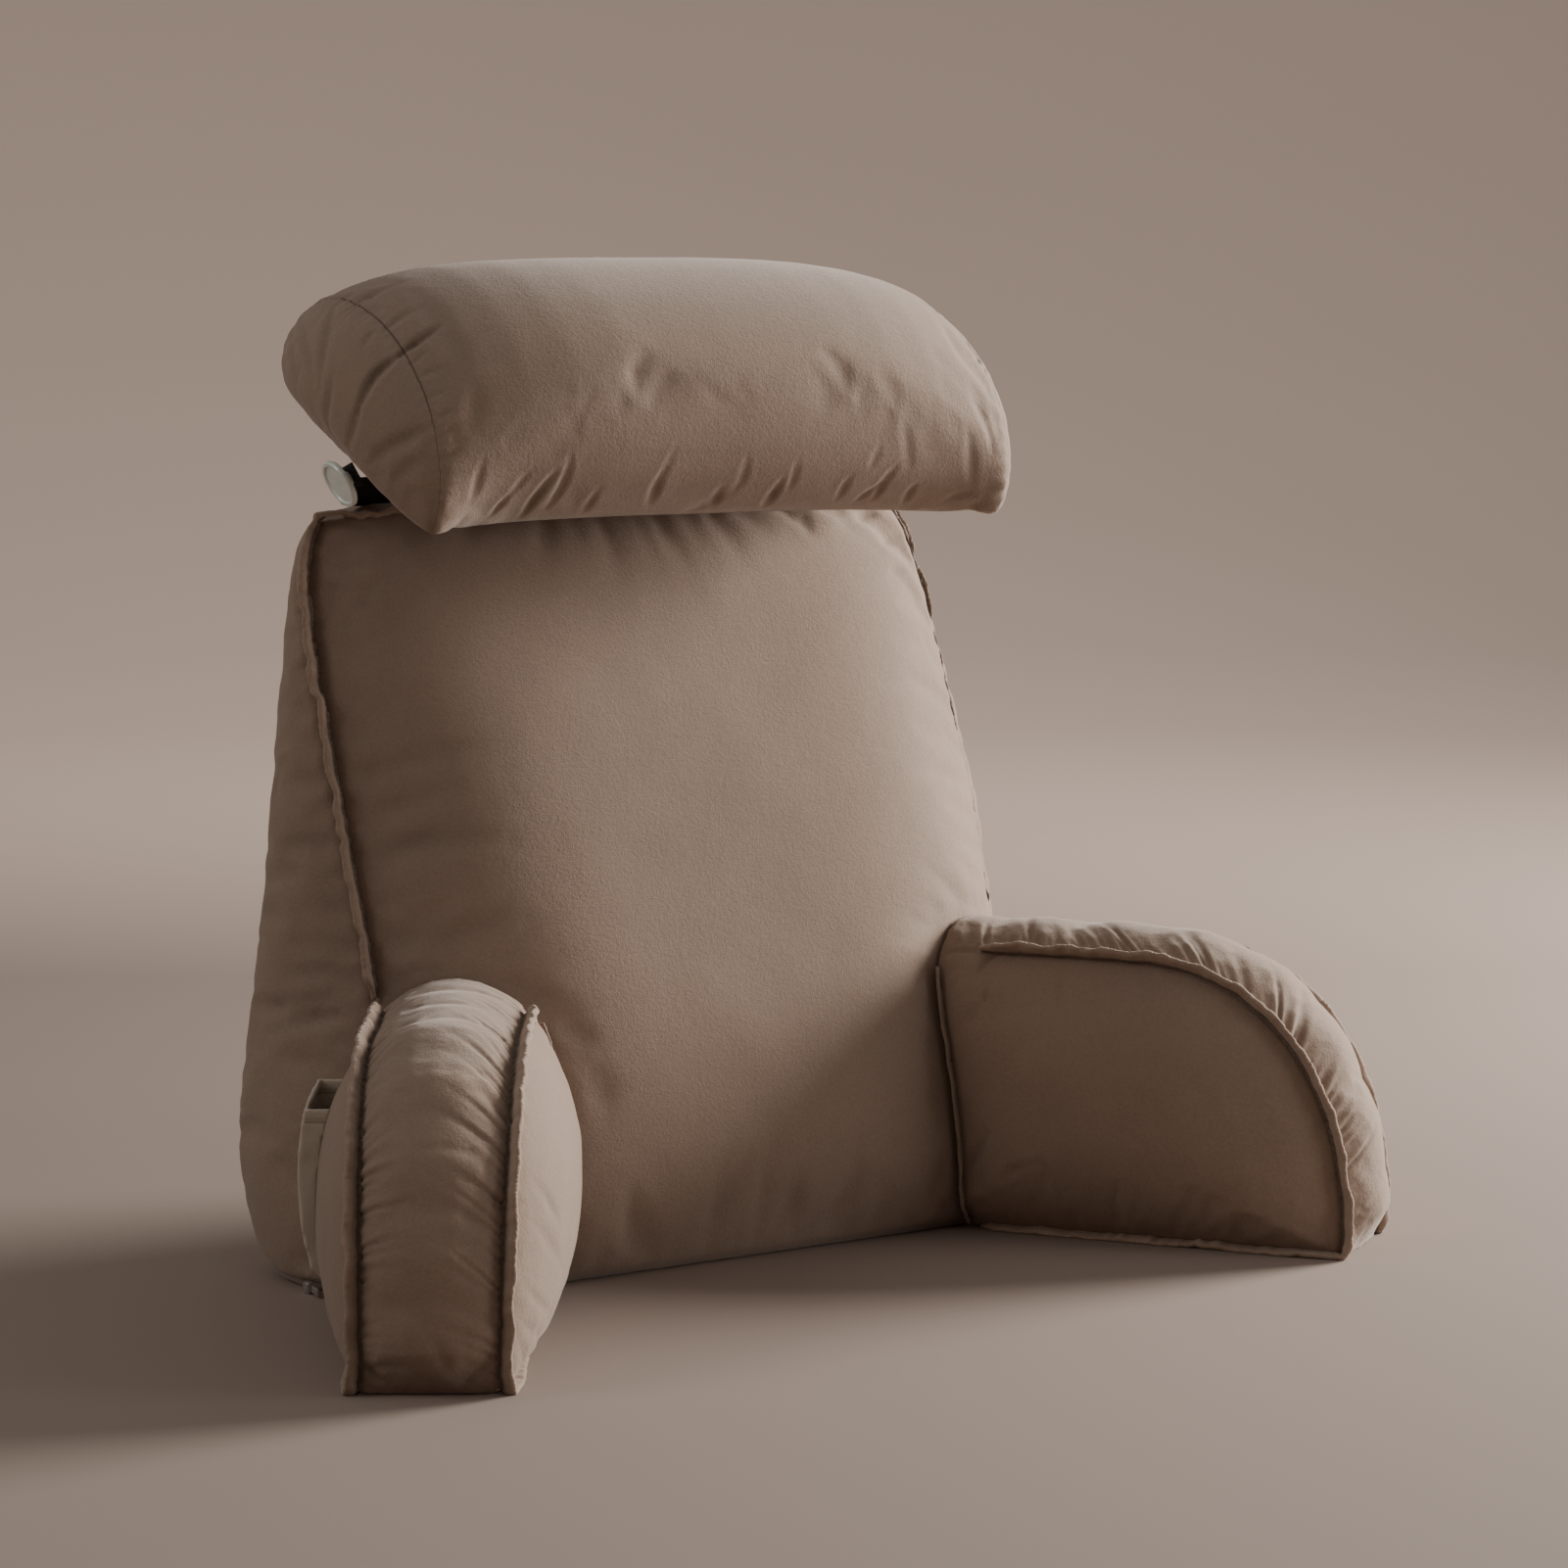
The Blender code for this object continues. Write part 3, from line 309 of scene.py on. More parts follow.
# Camera that matches the photograph
CAMERA_AZIMUTH = math.radians(33.97)
CAMERA_ELEVATION = math.radians(6.37)
CAMERA_DISTANCE = 3.15
CAMERA_TARGET = (0.0191, -0.1, 0.3398)
CAMERA_LENS = 103.21
CAMERA_SENSOR = 36.0
CAMERA_REACH = 100.0


class PillowLook(bpy.types.PropertyGroup):
    """Sizes and colours of the pillow's finish."""

    cloth_colour: FloatVectorProperty(
        name="Cloth", description="Colour of the brushed cloth", subtype="COLOR", size=3,
        default=(0.262, 0.186, 0.139))
    pocket_colour: FloatVectorProperty(
        name="Pocket cloth", description="Colour of the smoother pocket cloth", subtype="COLOR", size=3,
        default=(0.500, 0.425, 0.335))
    elastic_colour: FloatVectorProperty(
        name="Elastic", description="Colour of the elastic straps", subtype="COLOR", size=3,
        default=(0.012, 0.012, 0.014))
    button_colour: FloatVectorProperty(
        name="Button", description="Colour of the pearly buttons", subtype="COLOR", size=3,
        default=(0.78, 0.83, 0.78))
    zip_colour: FloatVectorProperty(
        name="Zip", description="Colour of the zip's metal", subtype="COLOR", size=3,
        default=(0.66, 0.66, 0.64))
    floor_colour: FloatVectorProperty(
        name="Floor", description="Colour of the plain floor", subtype="COLOR", size=3,
        default=(0.262, 0.200, 0.164))
    back_mesh: FloatProperty(
        name="Back mesh", description="Spacing of the back cushion's cloth mesh", default=0.0079,
        unit="LENGTH")
    arm_mesh: FloatProperty(
        name="Arm mesh", description="Spacing of each arm's cloth mesh", default=0.0049, unit="LENGTH")
    bolster_mesh: FloatProperty(
        name="Bolster mesh", description="Spacing of the bolster's cloth mesh", default=0.0060,
        unit="LENGTH")
    trim_mesh: FloatProperty(
        name="Trim mesh", description="Spacing of the flanges' mesh", default=0.0012, unit="LENGTH")
    pocket_mesh: FloatProperty(
        name="Pocket mesh", description="Spacing of the pocket's mesh", default=0.0016, unit="LENGTH")
    pressure: FloatProperty(
        name="Filling pressure", description="Pressure of the filling on the cloth", default=4.0)


def look():
    return bpy.context.scene.pillow_look


# Meshes as arrays

def vertex_values(mesh, name):
    values = np.empty(len(mesh.vertices) * 3)
    mesh.vertices.foreach_get(name, values)
    return values.reshape(-1, 3)


def places(piece):
    return vertex_values(piece.data, "co")


def set_places(piece, values):
    piece.data.vertices.foreach_set("co", values.ravel())
    piece.data.update()


def facings(piece):
    return vertex_values(piece.data, "normal")


def smooth_step(values, low, high):
    """0 below low, 1 above high, smooth between."""
    share = np.clip((values - low) / (high - low), 0.0, 1.0)
    return share * share * (3.0 - 2.0 * share)


def bump_noise(points, size, seed):
    """Smooth noise from -1 to 1 at each point, with features of about a size."""
    shift = Vector((seed * 3.1, seed * 1.7, seed * 2.3))
    return np.array([noise.noise(Vector(point) / size + shift) for point in points])


def select_only(piece):
    bpy.ops.object.select_all(action="DESELECT")
    piece.select_set(True)
    bpy.context.view_layer.objects.active = piece


def apply_modifier(piece, kind, **settings):
    select_only(piece)
    modifier = piece.modifiers.new(kind.title(), kind)
    for name, value in settings.items():
        setattr(modifier, name, value)
    bpy.ops.object.modifier_apply(modifier=modifier.name)


def copied_node(node, name):
    """New piece with the shape of a CAD node, its loose triangles merged."""
    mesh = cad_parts[node].data.copy()
    mesh.name = name
    mesh.materials.clear()
    piece = bpy.data.objects.new(name, mesh)
    bpy.context.scene.collection.objects.link(piece)
    shape = bmesh.new()
    shape.from_mesh(mesh)
    bmesh.ops.remove_doubles(shape, verts=shape.verts, dist=0.00002)
    shape.to_mesh(mesh)
    shape.free()
    return piece


def node_tree(*nodes):
    """Search tree of the surfaces of CAD nodes."""
    points = []
    faces = []
    for node in nodes:
        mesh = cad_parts[node].data
        start = len(points)
        points += [vertex.co.copy() for vertex in mesh.vertices]
        faces += [[start + index for index in face.vertices] for face in mesh.polygons]
    return BVHTree.FromPolygons(points, faces)


def remeshed(piece, spacing, smoothing):
    apply_modifier(piece, "REMESH", mode="VOXEL", voxel_size=spacing, use_smooth_shade=True)
    apply_modifier(piece, "SMOOTH", factor=0.5, iterations=smoothing)


def finish_piece(piece, slot, made_material, *nodes):
    """Give a piece its material and body, and let it stand for CAD nodes."""
    piece.data.materials.clear()
    piece.data.materials.append(made_material)
    piece.data.shade_smooth()
    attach(piece, "root")
    if nodes:
        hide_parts(*nodes)


def cloth_marks(piece, depth, seam_distance=None):
    """Keep a share of a full fold and the distance in millimetres from a stitched line, from which the
    shader paints shade in fold troughs, a highlight on ridges and a darker seam line.
    """
    if seam_distance is None:
        seam_distance = np.full(len(depth), NO_SEAM)
    for name, values in (("painted_fold_shade", depth / FULL_FOLD), ("seam", seam_distance * 1000.0)):
        marks = piece.data.attributes.new(name, "FLOAT", "POINT")
        marks.data.foreach_set("value", values.astype(np.float32))


# Seams

class Seam:
    """Evenly spaced points along a seam, with a search tree."""

    def __init__(self, points, closed=False):
        self.points = spaced(list(points) + ([points[0]] if closed else []), SEAM_STEP)
        self.length = (len(self.points) - 1) * SEAM_STEP
        self.tree = KDTree(len(self.points))
        for index, point in enumerate(self.points):
            self.tree.insert(point, index)
        self.tree.balance()
        self.places = np.array(self.points)
        runs = np.gradient(self.places, axis=0)
        self.runs = runs / np.linalg.norm(runs, axis=1, keepdims=True)

    def nearest(self, points):
        """Number of the nearest seam point, for each point."""
        return np.array([self.tree.find(point)[1] for point in points], int)

    def measure(self, points):
        """Distance along the seam and away from it, for each point."""
        index = self.nearest(points)
        offset = points - self.places[index]
        step = np.clip((offset * self.runs[index]).sum(axis=1), -SEAM_STEP, SEAM_STEP)
        return index * SEAM_STEP + step, np.linalg.norm(offset, axis=1)


def smooth_line(line):
    """A line with its corners cut twice, its ends kept."""
    for _ in range(2):
        cut = [line[0]]
        for start, end in zip(line, line[1:]):
            cut += [start.lerp(end, 0.25), start.lerp(end, 0.75)]
        line = cut + [line[-1]]
    return line


def spaced(line, step):
    """Points at equal steps along a polyline."""
    result = [line[0].copy()]
    left = step
    for start, end in zip(line, line[1:]):
        run = (end - start).length
        passed = 0.0
        while run - passed >= left:
            passed += left
            result.append(start.lerp(end, passed / run))
            left = step
        left -= run - passed
    return result


class ArmFrame:
    """Place of one arm, with the D of its seams."""

    def __init__(self, row):
        for column, value in zip(ARM_COLUMNS, row):
            setattr(self, column, value)
        self.along = Vector((self.side * math.sin(ARM_SPLAY), -math.cos(ARM_SPLAY), 0.0))
        self.across = Vector((self.side * math.cos(ARM_SPLAY), math.sin(ARM_SPLAY), 0.0))
        self.root = Vector((self.side * self.root_x, self.root_y, 0.0))

    def place(self, u, n, z):
        middle = self.thickness / 2
        narrowing = 1.0 - ARM_FOOT_NARROWING * max(0.0, 1.0 - z / self.height)
        leaned = middle + (n - middle) * narrowing - self.lean * z / self.height
        rearness = max(0.0, 1.0 - (u - ARM_REAR) / ARM_REACH_LENGTH)
        reached = u - ARM_OUTER_REACH * rearness * max(0.0, min(1.0, n / self.thickness))
        return self.root + self.along * reached + self.across * leaned + Vector((0.0, 0.0, z))

    def outline(self):
        """The D as (u, z) points: foot, curved front, top, rear corner."""
        points = [(ARM_REAR, 0.0), (ARM_LENGTH, 0.0)]
        reach = ARM_LENGTH - ARM_CURVE_START
        for step in range(1, 40):
            angle = math.pi / 2 * step / 40
            points.append((ARM_CURVE_START + reach * math.cos(angle) ** (2 / ARM_CURVE_POWER),
                           self.height * math.sin(angle) ** (2 / ARM_CURVE_POWER)))
        points.append((ARM_CURVE_START, self.height))
        for step in range(7):
            angle = math.pi / 2 * (1 + step / 6)
            points.append((ARM_REAR + ARM_REAR_RADIUS * (1 + math.cos(angle)),
                           self.height - ARM_REAR_RADIUS * (1 - math.sin(angle))))
        return points

    def seam(self, outer):
        depth = self.thickness if outer else 0.0
        return Seam([self.place(u, depth, z) for u, z in self.outline()], closed=True)

    def outwardness(self, points):
        """Distance of each point across the arm from its inner seam's plane."""
        return (points - np.array(self.root)) @ np.array(self.across)


def side_seam(table, side):
    return [Vector((middle + side * half, y, z)) for z, middle, half, y in table]


def front_seam():
    left = side_seam(FRONT_SEAM, -1)
    right = side_seam(FRONT_SEAM, 1)
    return Seam(left + right[::-1])


def bolster_seam(end):
    """Rim of one end panel, from the bolster's own points on that plane."""
    x = BOLSTER_END_X[end]
    rim = [v.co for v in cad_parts["headrest_bolster"].data.vertices if abs(v.co.x - x) < 0.0003]
    middle = sum(rim, Vector()) / len(rim)
    rim.sort(key=lambda point: math.atan2(point.z - middle.z, point.y - middle.y))
    return Seam([point.copy() for point in rim], closed=True)


# Folds

def gathers(along, away, length, row, seed):
    """Depth of irregular gathers that run out from a seam, slanted by a table along it."""
    spacing, reach, depth, slants = row
    draw = random.Random(seed)
    total = np.zeros(len(along))
    near = np.nonzero(away < reach * 2.6)[0]
    run = along[near]
    out = away[near]
    place = 0.0
    while place < length:
        gap = spacing * draw.uniform(0.55, 1.45)
        place += gap
        own_reach = reach * draw.uniform(0.35, 1.30)
        own_depth = depth * draw.uniform(0.30, 1.25)
        slant = np.interp(place, *zip(*slants)) + draw.uniform(-0.12, 0.12)
        width = gap * draw.uniform(0.34, 0.46) * (1.0 + 0.7 * out / own_reach)
        offset = (run - place - slant * out) / width
        shape = (1.0 - 0.9 * offset ** 2) * np.exp(-offset ** 2)
        total[near] += own_depth * shape * np.exp(-(out / own_reach) ** 1.8)
    return total


def creases(points, rows):
    """Depth of soft creases, each a smooth line through a few places on the cloth."""
    total = np.zeros(len(points))
    for row in rows:
        width, depth = row[0] / 1000.0, row[1] / 1000.0
        seam = Seam(smooth_line([Vector([value / 1000.0 for value in place]) for place in row[2]]))
        middle = seam.places.mean(axis=0)
        near = np.nonzero(np.linalg.norm(points - middle, axis=1) < seam.length / 2 + 3.0 * width)[0]
        if len(near) == 0:
            continue
        along, away = seam.measure(points[near])
        fade = np.sin(np.pi * np.clip(along / seam.length, 0.06, 0.94)) ** 0.7
        offset = away / (width * (0.55 + 0.45 * fade))
        total[near] += depth * fade * (1.0 - 0.6 * offset ** 2) * np.exp(-offset ** 2)
    return total


# Filled cloth

def nearest_distances(points, tree, reach):
    """Distance of each point to a surface, or the reach where it is farther."""
    result = np.full(len(points), reach)
    for index, point in enumerate(points):
        _, _, _, distance = tree.find_nearest(point, reach)
        if distance is not None:
            result[index] = distance
    return result


def fill(piece, held, cap, slack):
    """Blow the cloth up a little over its filling, with the seams and pressed faces held."""
    scene = bpy.context.scene
    before = places(piece)
    group = piece.vertex_groups.new(name="held")
    group.add([int(index) for index in np.nonzero(held)[0]], 1.0, "REPLACE")
    cloth = piece.modifiers.new("Filling", "CLOTH")
    settings = cloth.settings
    settings.quality = CLOTH_QUALITY
    settings.mass = CLOTH_MASS
    settings.tension_stiffness = CLOTH_TENSION
    settings.compression_stiffness = CLOTH_TENSION
    settings.shear_stiffness = CLOTH_SHEAR
    settings.bending_stiffness = CLOTH_BENDING
    settings.use_pressure = True
    settings.uniform_pressure_force = look().pressure
    settings.shrink_min = -slack
    settings.effector_weights.gravity = 0.0
    settings.vertex_group_mass = "held"
    cloth.collision_settings.use_collision = False
    cloth.point_cache.frame_start = 1
    cloth.point_cache.frame_end = CLOTH_FRAMES
    for number in range(1, CLOTH_FRAMES + 1):
        scene.frame_set(number)
    blown = piece.evaluated_get(bpy.context.evaluated_depsgraph_get())
    move = places(blown) - before
    length = np.linalg.norm(move, axis=1, keepdims=True)
    capped = cap * np.tanh(length / cap)
    move *= capped / np.maximum(length, 1e-9)
    piece.modifiers.remove(cloth)
    piece.vertex_groups.remove(group)
    set_places(piece, before + move)
    scene.frame_set(1)


def seat(piece, own_tree, near):
    """Put back what is pressed on a neighbour or the floor onto the solid's own surface."""
    points = places(piece)
    for index in np.nonzero(near > 0.0)[0]:
        spot, _, _, _ = own_tree.find_nearest(Vector(points[index]))
        points[index] += (np.array(spot) - points[index]) * near[index]
    points[:, 2] = np.maximum(points[:, 2], FLOOR_GAP)
    set_places(piece, points)


def refine(piece, marked):
    """Split the faces whose corners are all marked."""
    corners = np.empty(len(piece.data.loops), int)
    piece.data.loops.foreach_get("vertex_index", corners)
    chosen = marked[corners.reshape(-1, 4)].all(axis=1)
    select_only(piece)
    bpy.ops.object.mode_set(mode="EDIT")
    bpy.ops.mesh.select_mode(type="FACE")
    bpy.ops.mesh.select_all(action="DESELECT")
    bpy.ops.object.mode_set(mode="OBJECT")
    piece.data.polygons.foreach_set("select", chosen)
    bpy.ops.object.mode_set(mode="EDIT")
    bpy.ops.mesh.subdivide(number_cuts=1)
    bpy.ops.object.mode_set(mode="OBJECT")


def filled_piece(name, node, spacing, filling, seams, fine, relief):
    """Padded piece over a CAD solid: remeshed, filled, folded and seated on its neighbours."""
    piece = copied_node(node, name)
    remeshed(piece, spacing, 3)
    touching = node_tree(*[other for other in CUSHIONS if other != node])
    points = places(piece)
    held = nearest_distances(points, touching, TOUCH_REACH) < HELD_TOUCH
    held |= points[:, 2] < HELD_FLOOR
    for seam in seams:
        held |= seam.measure(points)[1] < spacing
    fill(piece, held, *filling)
    apply_modifier(piece, "SUBSURF", levels=1, render_levels=1)
    refine(piece, fine(places(piece)))
    points = places(piece)
    depth, seam_distance = relief(points)
    set_places(piece, points - facings(piece) * depth[:, None])
    cloth_marks(piece, depth, seam_distance)
    near = 1.0 - smooth_step(nearest_distances(points, touching, HELD_REACH), PRESSED_TOUCH, HELD_REACH)
    near = np.maximum(near, 1.0 - smooth_step(points[:, 2], PRESSED_FLOOR, FLOOR_REACH))
    seat(piece, node_tree(node), near)
    return piece


def seam_valley(away, depth, width):
    return depth * np.exp(-(away / width) ** 2)


def arm_relief(arm, seams):
    """Gathers of the band at both seams, lighter ones on the panels, creases and slow unevenness."""

    def relief(points):
        out = arm.outwardness(points)
        depth = 0.0007 * bump_noise(points, 0.060, arm.side + 4)
        depth += creases(points, ARM_CREASES[arm.name])
        height = points[:, 2]
        lively = smooth_step(height, 0.001, 0.012) * (0.50 + 0.50 * smooth_step(height, 0.03, 0.12))
        for place, seam in seams.items():
            along, away = seam.measure(points)
            inward = out if place == "inner" else arm.thickness - out
            on_band = smooth_step(inward, -0.001, 0.002)
            seed = arm.side + (11 if place == "inner" else 23)
            band = gathers(along, away, seam.length, ARM_GATHERS[place], seed)
            panel = gathers(along, away, seam.length, PANEL_GATHERS, seed + 5)
            depth += lively * (on_band * band + (1.0 - on_band) * panel)
            depth += seam_valley(away, *ARM_VALLEY)
        return depth, None

    return relief


def make_arm(arm):
    seams = {"inner": arm.seam(outer=False), "outer": arm.seam(outer=True)}

    def fine(points):
        out = arm.outwardness(points)
        near = np.zeros(len(points), bool)
        for place, seam in seams.items():
            inward = out if place == "inner" else arm.thickness - out
            reach = np.where(inward > 0.0, ARM_BAND_FINE, ARM_PANEL_FINE)
            near |= seam.measure(points)[1] < reach
        return near & (points[:, 2] > LOWEST_FINE)

    node = "arm_" + arm.name
    piece = filled_piece(node + "_cloth", node, look().arm_mesh, ARM_FILLING, list(seams.values()), fine,
                         arm_relief(arm, seams))
    finish_piece(piece, "brushed_cloth", brushed_cloth(), node)


def back_relief(front, rears):
    """Soft creases by the arms and corners, puckers at the seams and slow unevenness."""

    def relief(points):
        depth = 0.0014 * bump_noise(points, 0.12, 3) + 0.0004 * bump_noise(points, 0.045, 5)
        depth += creases(points, BACK_CREASES)
        along, away = front.measure(points)
        depth += gathers(along, away, front.length, FRONT_GATHERS, 31)
        depth += seam_valley(away, *FRONT_VALLEY)
        for number, rear in enumerate(rears):
            along, away = rear.measure(points)
            depth += gathers(along, away, rear.length, REAR_GATHERS, 41 + number)
            depth += seam_valley(away, *REAR_VALLEY)
        above_zip = points[:, 2] - ZIP_HEIGHT
        front_y, rear_y = ZIP_RUN_Y
        on_side = (points[:, 0] < ZIP_SIDE_X) & (points[:, 1] > front_y) & (points[:, 1] < rear_y)
        depth += on_side * seam_valley(np.abs(above_zip), *ZIP_VALLEY)
        return depth, np.where(on_side, above_zip, NO_SEAM)

    return relief


def make_back():
    front = front_seam()
    rears = [Seam(side_seam(REAR_SEAM, side)) for side in (-1, 1)]

    def fine(points):
        return (front.measure(points)[1] < BACK_FINE) & (points[:, 2] > LOWEST_FINE)

    piece = filled_piece("back_cloth", "back_cushion", look().back_mesh, BACK_FILLING, [front] + rears,
                         fine, back_relief(front, rears))
    finish_piece(piece, "brushed_cloth", brushed_cloth(), "back_cushion")


def bolster_relief(seams):
    """Folds that fan over the end panels, gathers, slanting creases low on the front, thin end seams."""

    def relief(points):
        depth = 0.0008 * bump_noise(points, 0.09, 9)
        depth += creases(points, BOLSTER_CREASES)
        seam_distance = np.full(len(points), NO_SEAM)
        for end, seam in seams.items():
            along, away = seam.measure(points)
            lively = np.where(points[:, 1] > 0.03, 1.0, 0.35) if end == "left" else 1.0
            depth += lively * gathers(along, away, seam.length, BOLSTER_GATHERS, 51 + len(end))
            depth += seam_valley(away, *BOLSTER_VALLEY)
            nearer = away < np.abs(seam_distance)
            outside = np.sign(points[:, 0] - BOLSTER_END_X[end])
            seam_distance = np.where(nearer, away * outside, seam_distance)
        # The scaled distance widens the dark seam line that the shader paints. The line is partly thread
        # and partly painted shadow.
        return depth, 0.6 * seam_distance

    return relief


def make_bolster():
    seams = {end: bolster_seam(end) for end in BOLSTER_END_X}

    def fine(points):
        near = np.zeros(len(points), bool)
        for seam in seams.values():
            near |= seam.measure(points)[1] < BOLSTER_FINE
        low, high = CREASED_FRONT_Z
        low_front = (points[:, 1] < CREASED_FRONT_Y) & (points[:, 2] > low) & (points[:, 2] < high)
        return near | low_front | (points[:, 0] < BOLSTER_END_X["left"] + END_PANEL_REACH)

    piece = filled_piece("bolster_cloth", "headrest_bolster", look().bolster_mesh, BOLSTER_FILLING,
                         list(seams.values()), fine, bolster_relief(seams))
    finish_piece(piece, "brushed_cloth", brushed_cloth(), "headrest_bolster")


# Flanges and strips

def wander(along, size, seed):
    """Smooth noise from -1 to 1 along a seam."""
    return np.array([noise.noise(Vector((place / size, seed * 3.7, seed * 1.3))) for place in along]) * 1.6


def make_trim(node, carriers, seam, sway, laid):
    """Folded flange over its CAD ribbon: swaying, puffed at its edge, stitched and rooted in its seam."""
    piece = copied_node(node, node + "_cloth")
    remeshed(piece, look().trim_mesh, 2)
    points = places(piece)
    seam_distance = None
    rooted = np.zeros(len(points))
    depth = 0.00035 * bump_noise(points, 0.010, 2)
    if seam:
        along, away = seam.measure(points)
        index = seam.nearest(points)
        offset = points - seam.places[index]
        upper = 1.0 + 1.2 * smooth_step(points[:, 2], *SWAYING_Z)
        sideways = sway * upper * (0.5 * wander(along, 0.0075, 3) + wander(along, 0.016, 5))
        turn = (sideways / FLANGE_HEIGHT - laid * smooth_step(points[:, 0], *LAID_X))[:, None]
        offset = offset * np.cos(turn) + np.cross(seam.runs[index], offset) * np.sin(turn)
        from_end = np.minimum(along - along.min(), along.max() - along)
        shorter = 1.0 - 0.35 * smooth_step(points[:, 2], *SHORTER_Z)
        shorter *= END_SHARE + (1.0 - END_SHARE) * smooth_step(from_end, 0.0, END_TAPER)
        offset *= shorter[:, None]
        points = seam.places[index] + offset
        depth += 0.00045 * np.exp(-((away - STITCH_HEIGHT) / 0.0009) ** 2)
        depth -= 0.0010 * smooth_step(away, *PUFFED) * (1.0 + 0.45 * wander(along, 0.006, 8))
        seam_distance = away - STITCH_HEIGHT
        rooted = 1.0 - smooth_step(away, *ROOTED)
    points = points - facings(piece) * depth[:, None]
    for tree in [visual_tree(name) for name in carriers]:
        for index, point in enumerate(points):
            spot, facing, _, distance = tree.find_nearest(Vector(point), ROOT_REACH)
            if spot is not None:
                pull = max(rooted[index], 1.0 - smooth_step(distance, *PULLED))
                points[index] += (np.array(spot - facing * ROOT_DEPTH) - point) * pull
    points[:, 2] = np.maximum(points[:, 2], FLOOR_GAP)
    set_places(piece, points)
    # The fold marks are tripled here, so the shader paints shade in the stitch groove and a highlight on
    # the puffed edge.
    cloth_marks(piece, 3.0 * depth, seam_distance)
    finish_piece(piece, "brushed_cloth", brushed_cloth(), node)


def visual_tree(name):
    graph = bpy.context.evaluated_depsgraph_get()
    return BVHTree.FromObject(bpy.data.objects[name], graph)


def make_pocket():
    """Pouch with a doubled hem, stitched below its mouth."""
    piece = copied_node("side_pocket", "side_pocket_cloth")
    remeshed(piece, look().pocket_mesh, 2)
    points = places(piece)
    below = POCKET_MOUTH - POCKET_HEM - points[:, 2]
    depth = 0.0008 * bump_noise(points, 0.028, 4) + 0.0004 * bump_noise(points, 0.012, 6)
    depth += 0.00035 * np.exp(-(below / 0.0012) ** 2)
    depth -= 0.0004 * smooth_step(-below, 0.0008, 0.0024)
    set_places(piece, points - facings(piece) * depth[:, None])
    cloth_marks(piece, depth, below)
    finish_piece(piece, "pocket_cloth", pocket_cloth(), "side_pocket")


def make_strap(side):
    """Elastic band that stands on the back's top and rises past its button to the bolster."""
    bpy.ops.object.select_all(action="DESELECT")
    bpy.ops.mesh.primitive_grid_add(x_subdivisions=64, y_subdivisions=6, size=2.0)
    piece = bpy.context.active_object
    piece.name = "strap_" + side + "_elastic"
    grid = places(piece)
    middle = smooth_line([Vector(row[:3]) for row in STRAP_ROWS])
    to_edge = smooth_line([Vector(row[3:]) for row in STRAP_ROWS])
    share = (grid[:, 0] + 1.0) / 2.0 * (len(middle) - 1)
    steps = np.arange(len(middle))

    def on_route(line):
        return np.stack([np.interp(share, steps, values) for values in np.array(line).T], axis=1)

    points = on_route(middle) + grid[:, 1:2] * on_route(to_edge)
    if side == "right":
        points[:, 0] = 2.0 * BOLSTER_MIDDLE_X - points[:, 0]
    set_places(piece, points)
    apply_modifier(piece, "SOLIDIFY", thickness=STRAP_THICKNESS, offset=0.0)
    apply_modifier(piece, "BEVEL", width=0.0004, segments=2, limit_method="ANGLE")
    finish_piece(piece, "black_elastic", black_elastic(), "strap_" + side)


# Finishes

class Value:
    """A shader socket that takes part in Python expressions."""

    def __init__(self, finish, socket):
        self.finish = finish
        self.socket = socket

    def math(self, operation, other=0.0):
        return self.finish.math(operation, self, other)

    def __add__(self, other):
        return self.math("ADD", other)

    __radd__ = __add__

    def __rsub__(self, other):
        return self.finish.math("SUBTRACT", other, self)

    def __mul__(self, other):
        return self.math("MULTIPLY", other)

    __rmul__ = __mul__

    def __truediv__(self, other):
        return self.math("DIVIDE", other)


class Finish:
    """A material whose nodes are added by one method."""

    def __init__(self, name):
        self.material = bpy.data.materials.new(name)
        self.material.use_nodes = True
        self.tree = self.material.node_tree
        self.shader = self.tree.nodes["Principled BSDF"]
        self.place = self.node("ShaderNodeTexCoord", {}, {}, output="Object")

    def node(self, kind, settings, inputs, output=0):
        made = self.tree.nodes.new(kind)
        for name, value in settings.items():
            setattr(made, name, value)
        for name, value in inputs.items():
            self.feed(made.inputs[name], value)
        return Value(self, made.outputs[output])

    def feed(self, socket, value):
        if isinstance(value, Value):
            self.tree.links.new(value.socket, socket)
        else:
            socket.default_value = value

    def math(self, operation, first, second):
        return self.node("ShaderNodeMath", {"operation": operation}, {0: first, 1: second})

    def attribute(self, name):
        return self.node("ShaderNodeAttribute", {"attribute_name": name}, {}, output="Fac")

    def line(self, distance, spread):
        """1 on a stitched line, fading to 0 where the squared distance in millimetres reaches a spread."""
        return (1.0 - distance * distance / spread).math("MAXIMUM")

    def noise(self, scale, detail=2.0, roughness=0.5, stretch=(1.0, 1.0, 1.0)):
        place = self.node("ShaderNodeMapping", {}, {"Vector": self.place, "Scale": stretch})
        return self.node("ShaderNodeTexNoise", {},
                         {"Vector": place, "Scale": scale, "Detail": detail, "Roughness": roughness})

    def scaled(self, colour, amount):
        """A colour made lighter or darker by a value."""
        return self.node("ShaderNodeVectorMath", {"operation": "SCALE"}, {0: colour, "Scale": amount})

    def set(self, **inputs):
        for name, value in inputs.items():
            self.feed(self.shader.inputs[name.replace("_", " ")], value)

    def bump(self, height, distance):
        normal = self.node("ShaderNodeBump", {}, {"Height": height, "Distance": distance, "Strength": 1.0})
        self.set(Normal=normal)


